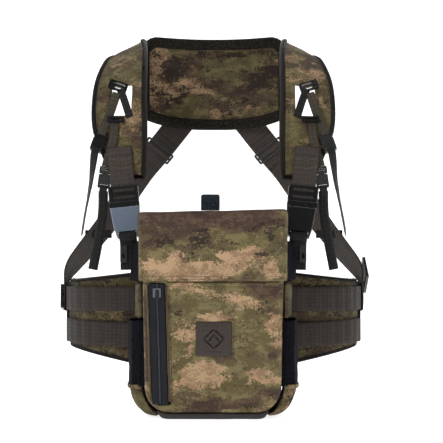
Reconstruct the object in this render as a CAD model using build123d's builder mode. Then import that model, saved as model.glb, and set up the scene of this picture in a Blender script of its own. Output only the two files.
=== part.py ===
from build123d import *
import os
from math import cos, radians, sin

# Binocular chest pack on a shoulder harness with a padded waist belt, as it is worn.
# Millimetres. +Z is up, the pack's front looks along -Y and the wearer stands at +Y.
# The origin is the centre of the flat chest pad that rests on the wearer.
# "left" and "right" are the sides seen from the front: left is -X.

# ---- pack: driving dimensions ----
SHELL_HALF_TOP = 71.5
SHELL_HALF_BOTTOM = 68.0
SHELL_TOP = 100.6
SHELL_BOTTOM = -97.0
SHELL_FRONT = -90.0
SHELL_BACK = -14.0
REAR_WALL = 6.0
WALL = 3.5
BOTTOM_RADIUS = 14.0
BASE_DROP = 6.0
POCKET_FRONT = -99.5
POCKET_TOP = 60.0
BACK_PANEL_TOP = 94.5
CHEST_PAD_HALF = 59.0
CHEST_PAD_TOP = 92.0
CHEST_PAD_BOTTOM = -97.0
GAP = 0.3

# ---- lid ----
LID_HALF = 75.0
LID_TOP = 105.0
LID_FRONT = -103.5
LID_HEM = 34.0
LID_WALL = 3.0
SKIRT_HEM = 78.0
LID_CORNER = 9.0
LID_REAR = -13.0
MAGNET = (20.0, 3.0)
MAGNET_X = 35.0

# ---- zip ----
ZIP_TOP = (-56.0, 32.5)
ZIP_BOTTOM = (-52.4, -88.0)
ZIP_TAPE = 7.4
ZIP_GAP = 1.2
ZIP_Y = -98.2
SLIDER_Z = 23.0

# ---- webbing ----
WEB = 25.0
WEB_WIDE = 30.0
WEB_NARROW = 10.0
WEB_ANCHOR = 18.0
WEB_T = 1.8

# ---- belt: a superellipse round the waist ----
BELT_HALF_X = 152.4
BELT_HALF_Y = 112.8
BELT_MID_Y = 104.0
BELT_POWER = 2.5
BELT_T = 8.0
WING_START = 19
WING_END = 101
REAR_START = 105
BELT_TOP_FRONT = 40.0
BELT_TOP_SIDE = 31.5
BELT_LOW_FRONT = -52.4
BELT_LOW_SIDE = -38.4
PALS_UPPER_Z = 13.8

# ---- shoulder pads: (inner edge, outer edge) from the chest over the shoulder to the yoke ----
PAD_T = 9.0
BINDING = 5.6
PAD_EDGES = [
    ((71, 0, 140), (104, 4, 140)),
    ((69.5, 1.5, 169), (118, 12, 169)),
    ((69, 7, 193), (127, 28, 193)),
    ((70, 20, 222), (128, 44, 222)),
    ((70.5, 43, 251), (125, 66, 245)),
    ((71.5, 76, 275), (117, 92, 265)),
    ((74, 111, 287), (109, 118, 271)),
    ((76.2, 148, 295), (105, 150, 266)),
    ((77.5, 172, 299.5), (98, 175, 260)),
    ((77.5, 185, 301), (80, 190, 254)),
]
WINDOW_X = (86.5, 109.8)
WINDOW_Z = (206.0, 238.0)

# ---- yoke between the shoulder blades ----
YOKE_HALF = 76.0
YOKE_Y = 204.0
YOKE_BEND = 16.0
YOKE_TOP = 299.0
YOKE_BOTTOM = 197.0
YOKE_T = 9.0
TRIM_TOP = 10.6
TRIM_BOTTOM = 12.6

SIDES = ((-1, "left"), (1, "right"))

os.makedirs("parts", exist_ok=True)


# ---------------------------------------------------------------- helpers
def save(shape, name):
    """Labels a finished piece and writes its STEP file."""
    shape.label = name
    export_step(shape, f"parts/{name}.step")


def group(shapes, name):
    """Writes several separate solids as one node."""
    save(Compound(children=list(shapes)), name)


def flip(points, side):
    """Points given for the +X side, moved to the side asked for."""
    return [Vector(side * p[0], p[1], p[2]) for p in points]


def tangents(points):
    """The direction of a route at each of its points."""
    last = len(points) - 1
    return [(points[min(i + 1, last)] - points[max(i - 1, 0)]).normalized() for i in range(last + 1)]


def station(point, across, along):
    """A section plane at a point, its X axis across the band and its normal along the route."""
    across = across.normalized()
    along = (along - across * along.dot(across)).normalized()
    return Plane(origin=point, x_dir=across, z_dir=along)


def band(planes, widths, thickness):
    """A flat band through section planes, as straight panels from each plane to the next."""
    with BuildPart() as made:
        for plane, width in zip(planes, widths):
            with BuildSketch(plane):
                Rectangle(width, thickness)
        loft(ruled=True)
    return made.part


def webbing(points, normals, width, thickness=WEB_T):
    """Webbing along a route, its flat face turned to the normal given at each point."""
    along = tangents(points)
    planes = [station(p, n.cross(t), t) for p, n, t in zip(points, normals, along)]
    return band(planes, [width] * len(points), thickness)


def belt_at(angle):
    """Plan position, tangent and outward normal on the belt's middle line, from 0 in front to 180 behind."""
    def place(a):
        c = cos(radians(a))
        s = sin(radians(a))
        power = 2 / BELT_POWER
        x = BELT_HALF_X * abs(s) ** power * (1 if s >= 0 else -1)
        y = BELT_MID_Y - BELT_HALF_Y * abs(c) ** power * (1 if c >= 0 else -1)
        return Vector(x, y, 0)

    along = (place(angle + 0.5) - place(angle - 0.5)).normalized()
    return place(angle), along, Vector(along.Y, -along.X, 0)


def belt_edges(angle):
    """Top and bottom of the belt at an angle."""
    x = max(abs(belt_at(angle)[0].X), 84.0) if angle < 90 else BELT_HALF_X
    share = (x - 84.0) / (BELT_HALF_X - 84.0)
    top = BELT_TOP_FRONT + (BELT_TOP_SIDE - BELT_TOP_FRONT) * share
    low = BELT_LOW_FRONT + (BELT_LOW_SIDE - BELT_LOW_FRONT) * share
    return top, low


def belt_band(side, angles, edges, thickness, lift=0.0):
    """A band round the belt's line. edges gives its top and bottom at an angle; lift moves it outwards."""
    planes = []
    heights = []
    for angle in angles:
        place, along, out = belt_at(angle)
        top, low = edges(angle)
        spot = place + out * lift
        middle = Vector(side * spot.X, spot.Y, (top + low) / 2)
        planes.append(station(middle, Vector(0, 0, 1), Vector(side * along.X, along.Y, 0)))
        heights.append(top - low)
    return band(planes, heights, thickness)


def pad_planes(side, share_in, share_out):
    """Section planes and widths for a strip of the shoulder pad between two distances in from its edges."""
    inner = flip([r[0] for r in PAD_EDGES], side)
    outer = flip([r[1] for r in PAD_EDGES], side)
    middle = [(a + b) * 0.5 for a, b in zip(inner, outer)]
    planes = []
    widths = []
    for a, b, t in zip(inner, outer, tangents(middle)):
        across = (b - a).normalized()
        full = (b - a).length
        start, end = share_in(full), share_out(full)
        planes.append(station(a + across * ((start + end) / 2), across, t))
        widths.append(end - start)
    return planes, widths


def pad_front(x, z, lift, side):
    """A point in front of the shoulder pad's face, for a strap that lies on it."""
    rows = PAD_EDGES[:6]
    for low, high in zip(rows, rows[1:]):
        if z <= high[0][2] or high is rows[-1]:
            share = (z - low[0][2]) / (high[0][2] - low[0][2])
            inner = Vector(*low[0]) * (1 - share) + Vector(*high[0]) * share
            outer = Vector(*low[1]) * (1 - share) + Vector(*high[1]) * share
            across = (outer.Y - inner.Y) / (outer.X - inner.X)
            y = inner.Y + across * (x - inner.X)
            rise = ((high[0][1] + high[1][1]) - (low[0][1] + low[1][1])) / 2 / (high[0][2] - low[0][2])
            return Vector(side * x, y - (PAD_T / 2 + lift) * (1 + across ** 2 + rise ** 2) ** 0.5, z)


def box_between(low, high):
    """A plain block between two opposite corners."""
    with BuildPart() as made:
        with Locations([tuple((a + b) / 2 for a, b in zip(low, high))]):
            Box(*[abs(b - a) for a, b in zip(low, high)])
    return made.part


def zip_x(z):
    """Where the slanting zip's middle line stands at a height."""
    share = (z - ZIP_BOTTOM[1]) / (ZIP_TOP[1] - ZIP_BOTTOM[1])
    return ZIP_BOTTOM[0] + (ZIP_TOP[0] - ZIP_BOTTOM[0]) * share


def zip_strip(near, far, top, low, y_front, y_back):
    """A strip that follows the zip between two distances from its middle line."""
    with BuildPart() as made:
        with BuildSketch(Plane.XZ.offset(-y_back)):
            with BuildLine():
                Polyline(
                    (zip_x(low) + near, low),
                    (zip_x(low) + far, low),
                    (zip_x(top) + far, top),
                    (zip_x(top) + near, top),
                    close=True,
                )
            make_face()
        extrude(amount=y_back - y_front)
    return made.part


def profile(grow, top):
    """The corner points of the pack's outline: wider at the top than at the bottom."""
    low = SHELL_BOTTOM - grow
    return [
        (-SHELL_HALF_BOTTOM - grow, low),
        (SHELL_HALF_BOTTOM + grow, low),
        (SHELL_HALF_TOP + grow, top),
        (-SHELL_HALF_TOP - grow, top),
    ]


def pack_block(grow, top, y_front, y_back):
    """A block with the pack's outline, between two depths, with round bottom corners."""
    with BuildPart() as made:
        with BuildSketch(Plane.XZ.offset(-y_back)) as outline:
            with BuildLine():
                Polyline(*profile(grow, top), close=True)
            make_face()
            fillet(outline.vertices().sort_by(Axis.Y)[:2], BOTTOM_RADIUS + grow)
        extrude(amount=y_back - y_front)
    return made.part


with BuildPart() as pack_shell:
    add(pack_block(0, SHELL_TOP, SHELL_FRONT, SHELL_BACK))
    add(pack_block(-WALL, SHELL_TOP + 20, SHELL_FRONT + WALL, SHELL_BACK - REAR_WALL), mode=Mode.SUBTRACT)
    with Locations([(side * MAGNET_X, -17.0, SHELL_TOP) for side in (-1, 1)]):
        Box(MAGNET[0] + 0.4, MAGNET[1] + 0.4, 6.4, mode=Mode.SUBTRACT)
save(pack_shell.part, "pack_shell")

with BuildPart() as body_magnets:
    with Locations([(side * MAGNET_X, -17.0, SHELL_TOP - 1.7) for side in (-1, 1)]):
        Box(MAGNET[0], MAGNET[1], 2.5)
save(body_magnets.part, "body_magnets")

with BuildPart() as back_panel:
    add(pack_block(-1.0, BACK_PANEL_TOP, -13.7, -9.0))
save(back_panel.part, "back_panel")

with BuildPart() as chest_pad:
    with BuildSketch(Plane.XZ) as pad_face:
        with BuildLine():
            Polyline(
                (-CHEST_PAD_HALF, CHEST_PAD_BOTTOM),
                (CHEST_PAD_HALF, CHEST_PAD_BOTTOM),
                (CHEST_PAD_HALF, CHEST_PAD_TOP),
                (-CHEST_PAD_HALF, CHEST_PAD_TOP),
                close=True,
            )
        make_face()
        fillet(pad_face.vertices(), 12)
    extrude(amount=8.7)
save(chest_pad.part, "chest_pad")

with BuildPart() as floor_board:
    inner = SHELL_HALF_BOTTOM - WALL - BOTTOM_RADIUS - 1
    add(box_between(
        (-inner, SHELL_FRONT + WALL + 1, SHELL_BOTTOM + WALL + GAP),
        (inner, SHELL_BACK - REAR_WALL - 1, SHELL_BOTTOM + WALL + 2.8),
    ))
save(floor_board.part, "floor_board")

with BuildPart() as base_panel:
    with BuildSketch(Plane.XZ.offset(16)) as base_face:
        with BuildLine():
            Polyline(
                (-57.0, SHELL_BOTTOM - GAP),
                (57.0, SHELL_BOTTOM - GAP),
                (52.0, SHELL_BOTTOM - BASE_DROP),
                (-52.0, SHELL_BOTTOM - BASE_DROP),
                close=True,
            )
        make_face()
    extrude(amount=82)
    fillet(base_panel.faces().sort_by(Axis.Z)[0].edges().filter_by(Axis.X), 1.8)
save(base_panel.part, "base_panel")

# ---------------------------------------------------------------- front pocket and its zip
with BuildPart() as front_pocket:
    add(pack_block(-0.5, POCKET_TOP, POCKET_FRONT, SHELL_FRONT - GAP))
    fillet(front_pocket.faces().sort_by(Axis.Y)[0].edges().sort_by(Axis.Z)[:-1], 4.0)
    add(pack_block(-4.5, POCKET_TOP - 4, POCKET_FRONT + 3, SHELL_FRONT + 2), mode=Mode.SUBTRACT)
    add(zip_strip(-ZIP_TAPE - 0.9, ZIP_TAPE + 0.9, ZIP_TOP[1] + 0.5, ZIP_BOTTOM[1] - 0.5, POCKET_FRONT - 1,
                  POCKET_FRONT + 4), mode=Mode.SUBTRACT)
save(front_pocket.part, "front_pocket")

group([zip_strip(near, far, ZIP_TOP[1], ZIP_BOTTOM[1], ZIP_Y - 0.6, ZIP_Y + 0.6)
       for near, far in ((-ZIP_TAPE - 0.6, -ZIP_GAP), (ZIP_GAP, ZIP_TAPE + 0.6))], "zip_tapes")
# the closed teeth, and the stop below them
group([zip_strip(-0.9, 0.9, ZIP_TOP[1], ZIP_BOTTOM[1] + 3.5, ZIP_Y - 0.8, ZIP_Y + 0.9),
       zip_strip(-0.9, 0.9, ZIP_BOTTOM[1] + 3.2, ZIP_BOTTOM[1] + 0.6, ZIP_Y - 1.4, ZIP_Y + 0.9)], "zip_teeth")

ZIP_AXIS = Vector(ZIP_BOTTOM[0] - ZIP_TOP[0], 0, ZIP_BOTTOM[1] - ZIP_TOP[1]).normalized()
SLIDER_AT = Vector(zip_x(SLIDER_Z), ZIP_Y, SLIDER_Z)
slider_plane = Plane(origin=SLIDER_AT, x_dir=(1, 0, 0), z_dir=ZIP_AXIS)

with BuildPart() as zip_slider:
    with BuildSketch(slider_plane.offset(-4.5)):
        with Locations([(0, 2.0)]):
            RectangleRounded(8.0, 1.4, 0.5)
    extrude(amount=9)
    with BuildSketch(slider_plane.offset(-1.2)):
        with Locations([(0, 3.2)]):
            Rectangle(2.4, 1.4)
    extrude(amount=3.0)
save(zip_slider.part, "zip_slider")

# the pull hangs in front of the slider's bridge and turns about it
pull_plane = Plane(origin=SLIDER_AT + Vector(0, -4.3, 0), x_dir=(1, 0, 0), z_dir=(0, -1, 0))
with BuildPart() as zip_pull:
    with BuildSketch(pull_plane):
        with Locations([(0.3, -3.4)]):
            RectangleRounded(3.8, 13.0, 1.6)
        with Locations([(0.3, -7.2)]):
            SlotOverall(3.6, 1.4, rotation=90, mode=Mode.SUBTRACT)
    extrude(amount=1.3)
save(zip_pull.part, "zip_pull")

# ---------------------------------------------------------------- patch, side pockets and panels
with BuildPart() as patch:
    with BuildSketch(Plane.XZ.offset(-POCKET_FRONT + GAP)):
        with Locations([(0.9, -22.6)]):
            RectangleRounded(35.5, 34.0, 2.0)
    extrude(amount=1.5)
    chamfer(patch.faces().sort_by(Axis.Y)[0].edges(), 0.5)
save(patch.part, "patch")

POCKET_OUTER = ((71.8, -82), (82.0, -76), (86.0, -50), (84.0, -22), (71.8, -17))
POCKET_INNER = ((73.4, -78), (80.6, -74), (84.2, -50), (82.4, -24), (73.4, -20.5))
PANEL_PLAN = ((71.8, -66), (76.0, -62), (80.5, -30), (80.5, -18), (71.8, -16))
WING_LOW_PLAN = ((71.9, -60), (86.0, -17), (86.0, -14.5), (71.9, -14.5))
WING_TOP_PLAN = ((71.9, -46), (84.0, -17), (84.0, -14.5), (71.9, -14.5))
GUSSET_FACE = ((72.0, -72.4), (84.5, -72.4), (71.5, -100.0), (66.5, -97.6), (70.9, -88))


def plan_face(points, side, height):
    """A closed outline seen from above, at a height."""
    with BuildSketch(Plane.XY.offset(height)) as made:
        with BuildLine():
            Polyline(*[(side * x, y) for x, y in points], close=True)
        make_face()
    return made.sketch


panels = []
gussets = []
for side, word in SIDES:
    with BuildPart() as side_pocket:
        add(plan_face(POCKET_OUTER, side, -72))
        extrude(amount=67)
        add(plan_face(POCKET_INNER, side, -70))
        extrude(amount=70, mode=Mode.SUBTRACT)
    save(side_pocket.part, f"side_pocket_{word}")

    with BuildPart() as side_panel:
        add(plan_face(PANEL_PLAN, side, -4.5))
        extrude(amount=36)
    panels.append(side_panel.part)

    with BuildPart() as side_wing:
        add(plan_face(WING_LOW_PLAN, side, 33))
        add(plan_face(WING_TOP_PLAN, side, 74))
        loft(ruled=True)
    save(side_wing.part, f"side_wing_{word}")

    # the gusset under the side pocket gathers in to the pack's bottom corner
    with BuildPart() as corner_gusset:
        with BuildSketch(Plane.XZ.offset(17)):
            with BuildLine():
                Polyline(*[(side * x, z) for x, z in GUSSET_FACE], close=True)
            make_face()
        extrude(amount=58)
    gussets.append(corner_gusset.part)
group(panels, "side_panels")
group(gussets, "corner_gussets")

# ---------------------------------------------------------------- lid, hinged along its front hem
with BuildPart() as lid_flap:
    with BuildSketch(Plane.XY.offset(LID_HEM)) as lid_plan:
        with BuildLine():
            Polyline((-LID_HALF, LID_REAR), (LID_HALF, LID_REAR), (LID_HALF, LID_FRONT), (-LID_HALF, LID_FRONT),
                     close=True)
        make_face()
        fillet(lid_plan.vertices().group_by(Axis.Y)[0], LID_CORNER)
    extrude(amount=LID_TOP - LID_HEM)
    fillet(lid_flap.faces().sort_by(Axis.Z)[-1].edges().sort_by(Axis.Y)[:-1], 4.0)
    inner = LID_HALF - LID_WALL
    with BuildSketch(Plane.XY.offset(LID_HEM - 1)) as lid_void:
        with BuildLine():
            Polyline((-inner, LID_REAR + 1), (inner, LID_REAR + 1), (inner, LID_FRONT + LID_WALL),
                     (-inner, LID_FRONT + LID_WALL), close=True)
        make_face()
        fillet(lid_void.vertices().group_by(Axis.Y)[0], LID_CORNER - LID_WALL)
    extrude(amount=LID_TOP - LID_WALL - LID_HEM + 1, mode=Mode.SUBTRACT)
    # the skirts at the sides stop higher than the front
    with Locations([(0, LID_FRONT + LID_CORNER + 60, (LID_HEM + SKIRT_HEM) / 2)]):
        Box(LID_HALF * 2 + 4, 120, SKIRT_HEM - LID_HEM, mode=Mode.SUBTRACT)
    with Locations([(side * MAGNET_X, -17.0, LID_TOP - LID_WALL) for side in (-1, 1)]):
        Box(MAGNET[0] + 0.4, MAGNET[1] + 0.4, 3.4, mode=Mode.SUBTRACT)
save(lid_flap.part, "lid_flap")

with BuildPart() as lid_magnets:
    with Locations([(side * MAGNET_X, -17.0, LID_TOP - LID_WALL + 0.85) for side in (-1, 1)]):
        Box(MAGNET[0], MAGNET[1], 1.4)
save(lid_magnets.part, "lid_magnets")

with BuildPart() as lid_tab:
    with BuildSketch(Plane.XZ.offset(14.0)) as tab_face:
        with Locations([(-3.0, LID_TOP + GAP + 8.4)]):
            Rectangle(19.5, 16.8)
        fillet(tab_face.vertices().group_by(Axis.Y)[-1], 2.0)
    extrude(amount=2.0)
save(lid_tab.part, "lid_tab")

# the strip that sews the lid's hem to the front pocket and folds as the lid's hinge
with BuildPart() as hinge_strip:
    with Locations([(10.5, POCKET_FRONT - 0.3 - 0.7, LID_HEM - 2.4)]):
        Box(112, 1.4, 3.6)
save(hinge_strip.part, "hinge_strip")

# ---------------------------------------------------------------- belt
WING_ANGLES = [WING_START + (WING_END - WING_START) * i / 12 for i in range(13)]
REAR_ANGLES = [REAR_START + (360 - 2 * REAR_START) * i / 22 for i in range(23)]
PALS_ANGLES = [26 + 58 * i / 9 for i in range(10)]
PALS_ROWS = ((PALS_UPPER_Z, -1.5), (PALS_UPPER_Z - 37.5, 2.0))


def pals_edges(middle, drift):
    """The edges of a row of belt webbing, which closes up a little towards the belt's ends."""
    def edges(angle):
        share = (belt_edges(angle)[0] - BELT_TOP_FRONT) / (BELT_TOP_SIDE - BELT_TOP_FRONT)
        return middle + WEB / 2 + drift * share, middle - WEB / 2 + drift * share
    return edges


belt_locks = []
for side, word in SIDES:
    save(belt_band(side, WING_ANGLES, belt_edges, BELT_T), f"belt_wing_{word}")
    group([belt_band(side, PALS_ANGLES, pals_edges(middle, drift), 1.6, BELT_T / 2 + 1.6)
           for middle, drift in PALS_ROWS], f"belt_webbing_{word}")
    # ladder-lock that joins the belt wing to the rear webbing
    place, along, out = belt_at((WING_END + REAR_START) / 2)
    lock_plane = Plane(origin=(side * (place.X + 6.6), place.Y + 2, 5.0), x_dir=(0, side, 0), z_dir=(side, 0, 0))
    with BuildPart() as belt_lock:
        with BuildSketch(lock_plane):
            RectangleRounded(18, 47, 3)
            with Locations([(-4.2, 0), (4.2, 0)]):
                Rectangle(4.2, 40, mode=Mode.SUBTRACT)
        extrude(amount=4)
    belt_locks.append(belt_lock.part)

save(belt_band(1, REAR_ANGLES, lambda angle: (24.0, -14.0), 2.4), "belt_rear_webbing")


# ---------------------------------------------------------------- yoke
def yoke_level(low, top, thickness):
    """One level of the curved panel between the shoulder blades, from its low edge to its top edge."""
    planes = []
    heights = []
    for i in range(-6, 7):
        share = i / 6
        x = YOKE_HALF * share
        y = YOKE_Y - YOKE_BEND * share ** 2
        slope = -2 * YOKE_BEND * share / YOKE_HALF
        z_low, z_top = low(abs(share)), top(abs(share))
        planes.append(station(Vector(x, y, (z_low + z_top) / 2), Vector(0, 0, 1), Vector(1, slope, 0)))
        heights.append(z_top - z_low)
    return band(planes, heights, thickness)


def yoke_low(share):
    return YOKE_BOTTOM + 11.0 * share ** 3


def yoke_top(share):
    return YOKE_TOP + 3.0 * share ** 2


save(yoke_level(lambda s: yoke_low(s) + TRIM_BOTTOM + GAP, lambda s: yoke_top(s) - TRIM_TOP - GAP, YOKE_T),
     "yoke_panel")
group([yoke_level(yoke_low, lambda s: yoke_low(s) + TRIM_BOTTOM, YOKE_T - 2),
       yoke_level(lambda s: yoke_top(s) - TRIM_TOP, yoke_top, YOKE_T - 2)], "yoke_trim")


# ---------------------------------------------------------------- shoulder harness, both sides
def strap_plane(point, along, front):
    """A plane on a strap: Y down the strap, X across it, its normal out of the strap's face."""
    along = along.normalized()
    front = (front - along * front.dot(along)).normalized()
    return Plane(origin=point, x_dir=along.cross(front), z_dir=front)


def slotted_plate(plane, width, height, thickness, slots):
    """A moulded slider on a strap. Each slot is (distance down the strap, length, width)."""
    with BuildPart() as made:
        with BuildSketch(plane.offset(-thickness / 2)):
            RectangleRounded(width, height, 1.8)
            for down_by, long, wide in slots:
                with Locations([(0, down_by)]):
                    Rectangle(long, wide, mode=Mode.SUBTRACT)
        extrude(amount=thickness)
    return made.part


def small_buckle(plane, width):
    """The two halves of a small side-release buckle: the plug above, the socket below."""
    with BuildPart() as plug:
        with BuildSketch(plane.offset(-2.6)):
            with Locations([(0, -8.4)]):
                RectangleRounded(width, 8.0, 1.4)
            with Locations([(0, -9.2)]):
                Rectangle(width - 4.0, 2.4, mode=Mode.SUBTRACT)
        extrude(amount=5.2)
        with BuildSketch(plane.offset(-1.2)):
            with Locations([(0, 0)]):
                Rectangle(width - 6.4, 9.4)
        extrude(amount=2.4)
    with BuildPart() as socket:
        with BuildSketch(plane.offset(-2.9)):
            with Locations([(0, 3.2)]):
                RectangleRounded(width, 14.6, 1.6)
        extrude(amount=5.8)
        with BuildSketch(plane.offset(-1.7)):
            with Locations([(0, 0.2)]):
                Rectangle(width - 5.4, 10.6)
        extrude(amount=3.4, mode=Mode.SUBTRACT)
        with BuildSketch(plane.offset(-4)):
            with Locations([(0, 7.9)]):
                Rectangle(width - 5, 2.0, mode=Mode.ADD)
        extrude(amount=8, mode=Mode.SUBTRACT)
    return plug.part, socket.part


FACE = Vector(0, -1, 0)
hooks = []
glides = []
adjusters = []
for side, word in SIDES:
    # padded core with its window, and the binding sewn along both edges
    with BuildPart() as shoulder_pad:
        add(band(*pad_planes(side, lambda w: BINDING + GAP, lambda w: w - BINDING - GAP), PAD_T))
        add(box_between((side * WINDOW_X[0], -30, WINDOW_Z[0]), (side * WINDOW_X[1], 90, WINDOW_Z[1])),
            mode=Mode.SUBTRACT)
    save(shoulder_pad.part, f"shoulder_pad_{word}")
    group([band(*pad_planes(side, lambda w: 0.0, lambda w: BINDING), PAD_T - 3),
           band(*pad_planes(side, lambda w: w - BINDING, lambda w: w), PAD_T - 3)], f"pad_binding_{word}")

    # main strap: sewn on the lower pad, then straight through the ladder-lock of the buckle
    strap_top = Vector(side * 96.8, -5.0, 162)
    strap_low = Vector(side * 91.8, -13.0, 114)
    down = (strap_low - strap_top).normalized()
    save(webbing([strap_top, strap_low], [FACE, FACE], WEB), f"main_strap_{word}")

    buckle = strap_plane(strap_low, down, FACE)
    with BuildPart() as buckle_male:
        with BuildSketch(buckle.offset(-2.8)):
            with Locations([(0, -8.5)]):
                RectangleRounded(31, 18, 2.5)
        extrude(amount=5.6)
        fillet(buckle_male.faces().sort_by(Axis.Y)[0].edges(), 1.1)
        # the channel for the webbing, and the slots in front of it
        with BuildSketch(buckle.offset(-1.3)):
            with Locations([(0, -8.5)]):
                Rectangle(25.8, 24)
        extrude(amount=2.6, mode=Mode.SUBTRACT)
        with BuildSketch(buckle):
            with Locations([(0, -12.6), (0, -5.4)]):
                Rectangle(24, 3.6)
        extrude(amount=6, mode=Mode.SUBTRACT)
        # solid shoulder, centre tongue and two latch arms
        with BuildSketch(buckle.offset(-2.8)):
            with Locations([(0, 2.6)]):
                Rectangle(31, 4.6)
        extrude(amount=5.6)
        with BuildSketch(buckle.offset(-1.6)):
            with Locations([(0, 12.4)]):
                Rectangle(5.0, 15.4)
            with Locations([(-9.4, 13.4), (9.4, 13.4)]):
                Rectangle(3.4, 17.4)
        extrude(amount=3.2)
    save(buckle_male.part, f"buckle_male_{word}")

    with BuildPart() as buckle_female:
        with BuildSketch(buckle.offset(-4.2)):
            with BuildLine():
                Polyline((-15.5, 5.3), (15.5, 5.3), (13.4, 26), (10.8, 37.0), (-10.8, 37.0), (-13.4, 26), close=True)
            make_face()
        extrude(amount=8.4)
        fillet(buckle_female.faces().sort_by(Axis.Y)[0].edges(), 1.8)
        # the throat, and the windows that the latch arms are squeezed through
        with BuildSketch(buckle.offset(-2.2)):
            with Locations([(0, 14.8)]):
                Rectangle(23.4, 19.2)
            with Locations([(-14.0, 15.6), (14.0, 15.6)]):
                Rectangle(8.0, 10.5)
        extrude(amount=4.4, mode=Mode.SUBTRACT)
        with BuildSketch(buckle.offset(-5)):
            with Locations([(0, 32.4)]):
                Rectangle(18.6, 3.0)
        extrude(amount=10, mode=Mode.SUBTRACT)
    save(buckle_female.part, f"buckle_female_{word}")

    anchor = [strap_low + down * 31.5 - buckle.z_dir * 5.6, Vector(side * 87.4, -11.8, 72),
              Vector(side * 86.8, -11.8, 44)]
    save(webbing(anchor, [FACE] * 3, WEB_ANCHOR), f"anchor_webbing_{word}")
    hooks.append(slotted_plate(strap_plane(Vector(side * 92.6, -14.0, 61.0), Vector(0, 0, -1), FACE), 7.0, 19.0,
                               1.8, [(2.4, 2.6, 5.0)]))

    # upper adjuster strap: from the window's top edge out to a small buckle on the pad's outer edge
    upper = [pad_front(101.5, 229, 3.4, side), pad_front(108.0, 208, 4.0, side), pad_front(115.0, 189, 3.4, side)]
    upper_web = webbing(upper, [FACE] * 3, WEB_NARROW, 1.4)
    lock_at = pad_front(100.5, 236.5, 4.4, side)
    upper_lock = slotted_plate(strap_plane(lock_at, upper[1] - upper[0], FACE), 20.0, 10.5, 3.0,
                               [(-2.2, 14, 2.0), (2.2, 14, 2.0)])
    upper_dir = Vector(side * 5.4, -6.0, -16.0)
    buckle_at = upper[-1] + upper_dir.normalized() * 14.2 + FACE * 4.2
    plug, socket = small_buckle(strap_plane(buckle_at, upper_dir, FACE), 13.5)
    save(plug, f"upper_plug_{word}")
    save(socket, f"upper_socket_{word}")
    tail_top = buckle_at + upper_dir.normalized() * 12.3
    out = Vector(side, 0, 0)
    upper_tail = [tail_top, Vector(side * 128.5, 22, 136), Vector(side * 135.0, 60, 112),
                  Vector(side * 141.0, 104, 94), Vector(side * 145.5, 146, 82)]
    tail_faces = [Vector(side * 0.5, -1, 0), Vector(side, -0.7, 0), out, out, Vector(side, 0.2, 0)]
    upper_tail = webbing(upper_tail, tail_faces, WEB_NARROW, 1.4)

    # lower adjuster strap: from the window's low edge to a small buckle, then on down to the belt
    lower = [pad_front(103.2, 203, 3.0, side), pad_front(104.2, 180, 3.4, side), Vector(side * 110.8, -0.5, 153)]
    lower_lock = slotted_plate(strap_plane(pad_front(101.6, 200.5, 6.4, side), lower[1] - lower[0], FACE),
                               18.0, 6.5, 2.4, [(0, 12, 1.8)])
    group([upper_web, webbing(lower, [FACE] * 3, WEB_NARROW, 1.4)], f"pad_straps_{word}")
    group([upper_lock, lower_lock], f"pad_locks_{word}")
    lower_dir = Vector(side * 2.4, 0.5, -18.0)
    plug, socket = small_buckle(strap_plane(lower[-1] + lower_dir.normalized() * 14.2, lower_dir, FACE), 13.0)
    save(plug, f"lower_plug_{word}")
    save(socket, f"lower_socket_{word}")
    tail = [lower[-1] + lower_dir.normalized() * 26.5, Vector(side * 116.0, 4, 96), Vector(side * 126.0, 14.0, 44)]
    group([upper_tail, webbing(tail, [FACE] * 3, WEB_NARROW, 2.6)], f"strap_tails_{word}")

    # rear strap: from the yoke down and round to the outside of the belt
    rear_route = [Vector(side * 36, 207.5, 208), Vector(side * 62, 204, 175), Vector(side * 84, 198, 148),
                  Vector(side * 112, 179, 103), Vector(side * 139, 143, 66), Vector(side * 158.3, 112, 40),
                  Vector(side * 160.4, 100, 22), Vector(side * 160.4, 97, -2)]
    rear_faces = [Vector(0, 1, 0), Vector(0, 1, 0), Vector(side * 0.2, 1, 0.1), Vector(side * 0.6, 1, 0.3),
                  Vector(side, 0.75, 0.3), Vector(side, 0.25, 0.2), out, out]
    save(webbing(rear_route, rear_faces, WEB_WIDE), f"rear_strap_{word}")
    glide = strap_plane(rear_route[1] + Vector(side * 1.0, -6.0, -1.0), rear_route[2] - rear_route[0], FACE)
    glides.append(slotted_plate(glide, 36.5, 13.0, 2.6, [(-2.9, 31.4, 3.2), (2.9, 31.4, 3.2)]))
    # the rear strap's adjuster at the belt sits higher on the right than on the left
    if side > 0:
        adjuster = strap_plane(Vector(163.4, 104.5, 36), Vector(3.0, -12, -18), Vector(1, 0.12, 0.1))
    else:
        adjuster = strap_plane(Vector(-163.2, 98.5, 12), Vector(0, -3, -24), Vector(-1, 0, 0))
    adjusters.append(slotted_plate(adjuster, 35.0, 26.0, 2.8, [(-6.0, 30.6, 5.0), (4.0, 30.6, 7.0)]))
group(hooks, "side_hooks")
group(glides, "rear_glides")
group(belt_locks + adjusters, "belt_locks")
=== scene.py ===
import math

import bmesh
import bpy
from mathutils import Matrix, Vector, noise


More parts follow.
